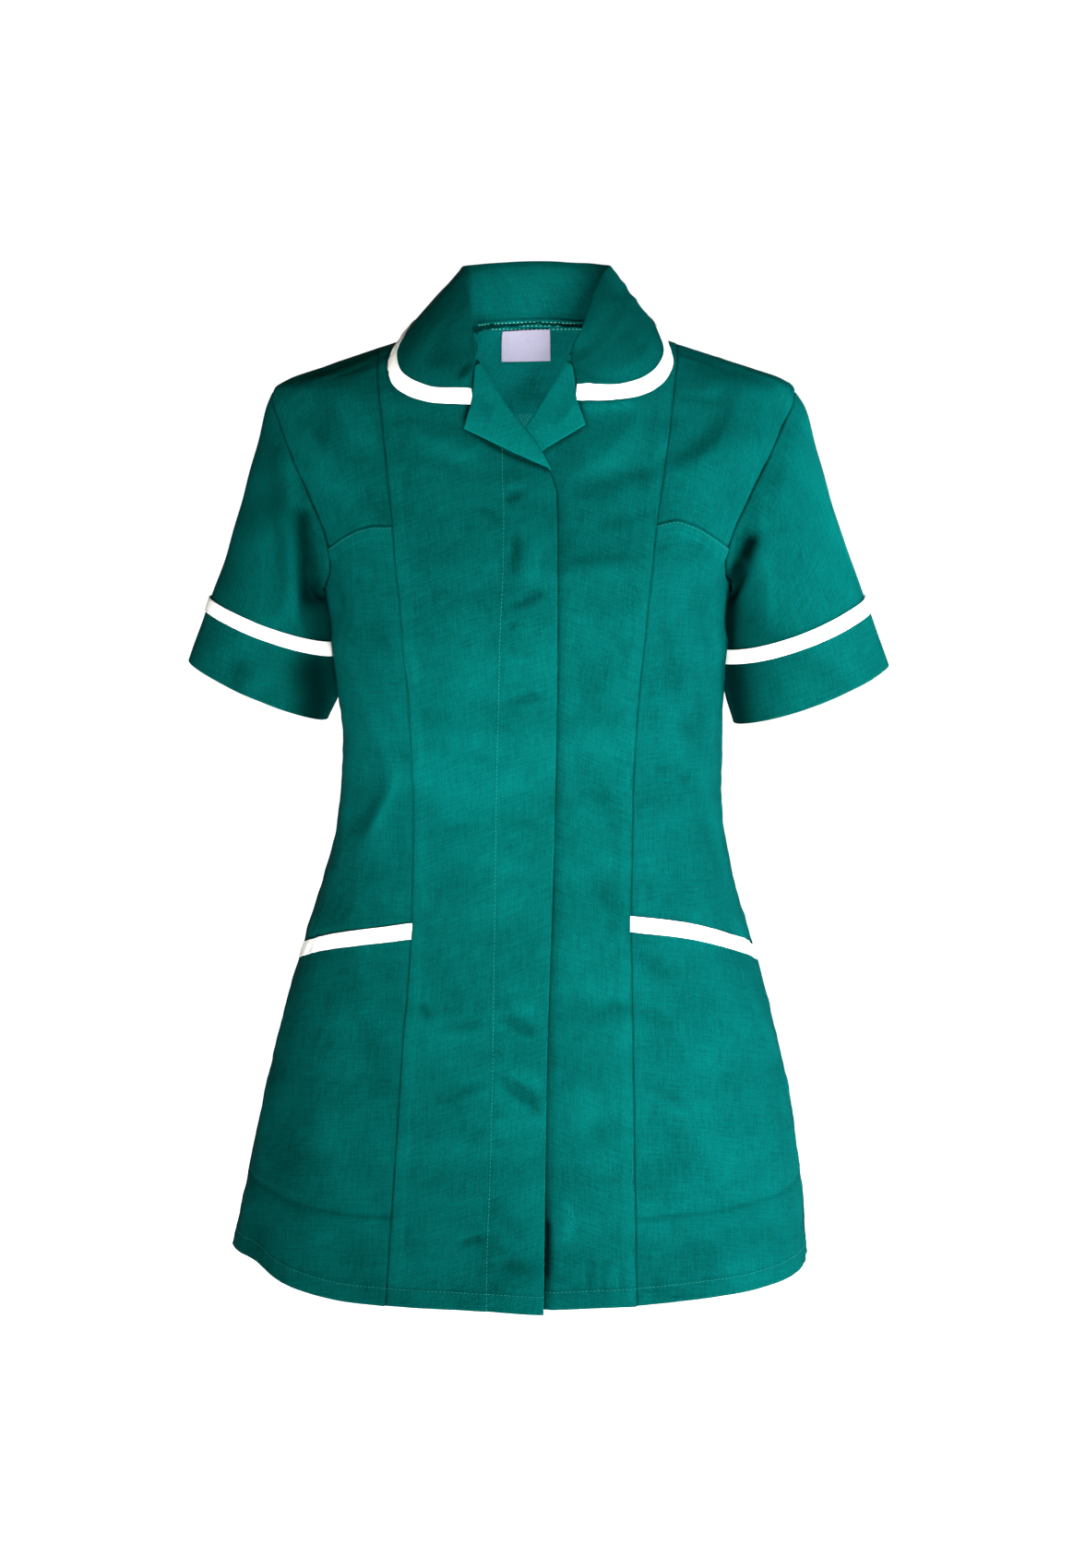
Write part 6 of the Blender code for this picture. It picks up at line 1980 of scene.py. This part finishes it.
@dataclass
class NeckInside:
    """What shows inside the back neck: binding, bare label and a small patch of stitches."""

    finishes: Materials
    binding_reach: float = 0.046
    binding_drop: float = 0.0106
    binding_stitches: tuple[float, ...] = (0.0022, 0.0056, 0.0094)
    label_left: float = -0.0272
    label_width: float = 0.038
    label_top: float = -0.008
    label_drop: float = 0.0246
    patch_top: float = -0.0765
    patch_pitch: float = 0.0016

    def strip(self, across: Array, height: Array, depth: Array) -> Pair:
        """Grid on the inside of the back, facing inward."""
        turn = TORSO.turn_at(across, height, at_back=True)
        normal = TORSO.normal(turn, height)
        return TORSO.plain(turn, height) - normal * depth[..., None], -normal

    def binding(self) -> None:
        """Strip over the neck seam, from the collar's stand down to the back, in three rows of stitches."""
        across = np.linspace(-self.binding_reach, self.binding_reach, 90)
        bow = smooth_curve(metres(((0, 0), (30, -1.2), (48, -3.4))), np.abs(across))[..., 0]
        down = spaced_shares(0.0075, 0.0012, (0.0002, 0.0006))
        down = np.interp(np.linspace(0, 1, 12), np.linspace(0, 1, len(down)), down)[:, None]
        along = np.linspace(0.38, 0.62, 160)
        stand = Collar(self.finishes).point(np.full_like(along, -0.004), along)
        top = np.stack([np.interp(across, stand[:, 0], stand[:, axis]) for axis in range(3)], -1)[None]
        inward = -unit(top * np.array((1.0, 1.0, 0.0)))
        top = top + inward * 0.00155
        foot, _ = self.strip(across[None], bow[None] - self.binding_drop, np.full((1, len(across)), 0.0018))
        points = top + (foot - top) * down[..., None] + inward * (0.0016 * np.sin(np.pi * down))[..., None]
        outward = grid_normals(points, np.broadcast_to(inward, points.shape), False)
        far = edge_distances(points)
        relief = 0.00003 * unevenness(far["left"], far["top"], 107, 0.008, 0.03, 8)
        _, half = wall_sizes({"top": Edge.FOLD, "foot": Edge.FOLD}, far, SEWING.wall, 0.0)
        laid = points + outward * relief[..., None]
        cloth = Cloth(laid, outward, flat_places(far), relief, np.zeros_like(half), half)
        piece = shell_object("cloth_neck_binding", cloth, self.finishes["cloth"])
        stitching = Stitching(pitch=0.0032, length=0.0019, radius=0.00024)
        rows = [stitching.on_cloth(cloth.surface, outward, *crossing(far["top"] - away, 0))
                for away in self.binding_stitches]
        thread = thread_object("thread_neck_binding", rows, self.finishes["neck_thread"])
        keep(piece, "neck_binding", (thread,))

    def label(self) -> None:
        """Bare satin label below the binding, sewn at its top and sprung a little at its foot."""
        share = np.linspace(0.0, 1.0, 44)[None, :] * np.ones((30, 1))
        down = np.linspace(0.0, 1.0, 30)[:, None]
        across = self.label_left + self.label_width * share
        height = self.label_top - self.label_drop * down - 0.0006 * (1.0 - share)
        depth = 0.003 + 0.0016 * down ** 2 + 0.0018 * (1.0 - down) ** 3 + 0.0004 * np.sin(np.pi * share)
        points, outward = self.strip(across, height, depth)
        far = edge_distances(points)
        _, half = wall_sizes({side: Edge.FOLD for side in SIDES}, far, 0.0005, 0.0)
        relief = -0.00012 * bell(far["foot"] - 0.0012, 0.0005)
        cloth = Cloth(points, outward, flat_places(far), relief, np.zeros_like(half), half)
        piece = shell_object("cloth_label", cloth, self.finishes["label"])
        keep(piece, "label")

    def patch(self) -> None:
        """Small patch of zigzag stitches on the inside of the back, seen through the neck."""
        centres, forwards, normals = [], [], []
        for row in range(6):
            count = 8 - row
            across = np.linspace(-0.0155 + 0.0008 * row, -0.001 - 0.0012 * row, count)
            height = np.full(count, self.patch_top - self.patch_pitch * row)
            points, outward = self.strip(across[None], height[None], np.full((1, count), 0.0009))
            slope = np.where(np.arange(count) % 2 == 0, 0.7, -0.7)
            forward = np.stack((np.full(count, 0.7), np.zeros(count), slope), -1)
            centres.append(points[0])
            normals.append(outward[0])
            forwards.append(unit(forward - outward[0] * np.sum(forward * outward[0], -1, keepdims=True)))
        rows = [Stitching(length=0.0022, radius=0.0002).placed(
            np.concatenate(centres), np.concatenate(forwards), np.concatenate(normals))]
        thread = thread_object("thread_back_patch", rows, self.finishes["thread"])
        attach(thread, "root")

    def build(self) -> None:
        """Build everything inside the back neck."""
        self.binding()
        self.label()
        self.patch()


# ---- studio
@dataclass(frozen=True)
class Studio:
    """Camera, lights, world and floor."""

    eye: Place = (0.0, -2.6, 0.02)
    aim_height: float = -0.352
    focal_mm: float = 79.456
    sensor_mm: float = 36.0
    floor_height: float = -1.3
    floor_reach: float = 12.0
    backdrop: float = 1.05
    floor_glow: float = 1.0
    room_glow: float = 0.165
    warm_white: tuple[float, float, float, float] = (1.0, 1.0, 0.7, 1.0)

    def camera(self) -> None:
        """Camera at the photograph's angle, at the height of the collar and aimed at the waist."""
        data = bpy.data.cameras.new("camera")
        data.sensor_fit, data.sensor_height, data.lens = "VERTICAL", self.sensor_mm, self.focal_mm
        data.clip_end = 50.0
        made = bpy.data.objects.new("camera", data)
        made.location = self.eye
        pitch = np.arctan2(self.eye[2] - self.aim_height, -self.eye[1])
        made.rotation_euler = (np.pi / 2 - pitch, 0.0, 0.0)
        bpy.context.scene.collection.objects.link(made)
        bpy.context.scene.camera = made

    def area_light(self, name: str, place: Place, aim: Place,
                   size: tuple[float, float], power: float, spread: float = 180.0,
                   colour: Place = (1.0, 1.0, 1.0)) -> None:
        """A soft box that faces its aim, with its beam held to a spread in degrees."""
        data = bpy.data.lights.new(name, "AREA")
        data.spread, data.color = np.radians(spread), colour
        data.shape, data.size, data.size_y, data.energy = "RECTANGLE", size[0], size[1], power
        made = bpy.data.objects.new(name, data)
        made.location = place
        made.visible_camera = False
        away = unit(np.array(aim) - np.array(place))
        made.rotation_euler = (float(np.arccos(-away[2])), 0.0, float(np.arctan2(-away[0], away[1])))
        bpy.context.scene.collection.objects.link(made)

    def world(self, strength: float) -> None:
        """White surroundings."""
        made = bpy.data.worlds.new("white_room")
        made.use_nodes = True
        nodes = Nodes(made.node_tree)
        back = made.node_tree.nodes["Background"]
        seen = nodes.add("ShaderNodeLightPath").outputs["Is Camera Ray"]
        nodes.feed(back.inputs["Strength"], nodes.span(seen, 0.0, 1.0, strength, self.backdrop))
        nodes.feed(back.inputs["Color"], nodes.mix(seen, self.warm_white, (1.0, 1.0, 1.0, 1.0)))
        bpy.context.scene.world = made

    def floor(self) -> None:
        """Plain pale floor, well below the hem."""
        grid = np.linspace(-self.floor_reach, self.floor_reach, 9)
        x, y = np.meshgrid(grid, grid, indexing="ij")
        points = np.stack((x, y, np.full_like(x, self.floor_height)), -1).reshape(-1, 3)
        row, column = np.meshgrid(np.arange(8), np.arange(8), indexing="ij")
        start = (row * 9 + column).ravel()
        faces = np.stack((start, start + 9, start + 10, start + 1), -1)
        finish = bpy.data.materials.new("pale_floor")
        finish.use_nodes = True
        shader = finish.node_tree.nodes["Principled BSDF"]
        nodes = Nodes(finish.node_tree)
        place = nodes.add("ShaderNodeTexCoord")
        grain = nodes.noise(place.outputs["Object"], 6.0, 3.0)
        colour = nodes.mix(grain, (0.93, 0.93, 0.93, 1.0), (0.96, 0.96, 0.96, 1.0))
        nodes.feed(shader.inputs["Base Color"], colour)
        shader.inputs["Roughness"].default_value = 0.9
        shader.inputs["Emission Color"].default_value = (1.0, 1.0, 1.0, 1.0)
        shader.inputs["Emission Strength"].default_value = self.floor_glow
        mesh_object("floor", points, faces, finish)

    def build(self) -> None:
        """Set up the whole studio."""
        self.camera()
        self.world(self.room_glow)
        self.floor()
        self.area_light("side_soft_box", (1.5, -0.5, -0.68), (0.1, 0.0, -0.46), (0.9, 0.8), 55.0,
                        colour=(0.94, 0.97, 1.0))
        self.area_light("front_soft_box", (0.16, -2.15, -0.8), (0.0, -0.1, -0.28), (0.6, 0.5), 7.4, 38.0,
                        colour=(1.0, 1.0, 0.95))
        self.area_light("upper_soft_box", (-0.45, -2.3, -0.28), (-0.05, 0.0, -0.12), (0.6, 0.5), 4.2,
                        colour=(1.0, 1.0, 0.95))
        self.area_light("sleeve_soft_box", (1.3, -0.7, -0.05), (0.33, -0.03, -0.12), (0.12, 0.2), 0.55, 14.0)
        self.area_light("collar_soft_box", (0.45, -1.3, 0.35), (0.055, -0.06, -0.02), (0.12, 0.12), 0.09, 9.0)
        self.area_light("waist_soft_box", (-0.3, -2.2, -0.45), (-0.068, -0.1, -0.335), (0.1, 0.1), 0.07, 5.0)
        self.area_light("low_soft_box", (0.9, -1.6, -1.1), (0.145, -0.06, -0.6), (0.15, 0.15), 0.35, 16.0)
        self.area_light("back_soft_box", (-0.35, 2.4, 0.25), (0.0, 0.1, -0.3), (1.2, 1.0), 24.0)
        self.area_light("neck_light", (0.0, -0.045, -0.17), (0.0, 0.09, -0.055), (0.1, 0.06), 0.92)
        scene = bpy.context.scene
        scene.view_settings.view_transform = "Standard"
        scene.view_settings.look = "None"


def main() -> None:
    """Build the studio and every piece of the tunic, in order."""
    logging.basicConfig(level=logging.INFO, format="%(message)s")
    Studio().build()
    finishes = Finishes().build()
    body = Body(finishes)
    body.build()
    for side in Side:
        Sleeve(side, finishes).build()
        Lapel(side, finishes, body.underlap).build()
    Collar(finishes).build()
    NeckInside(finishes).build()


if __name__ == "__main__":
    main()
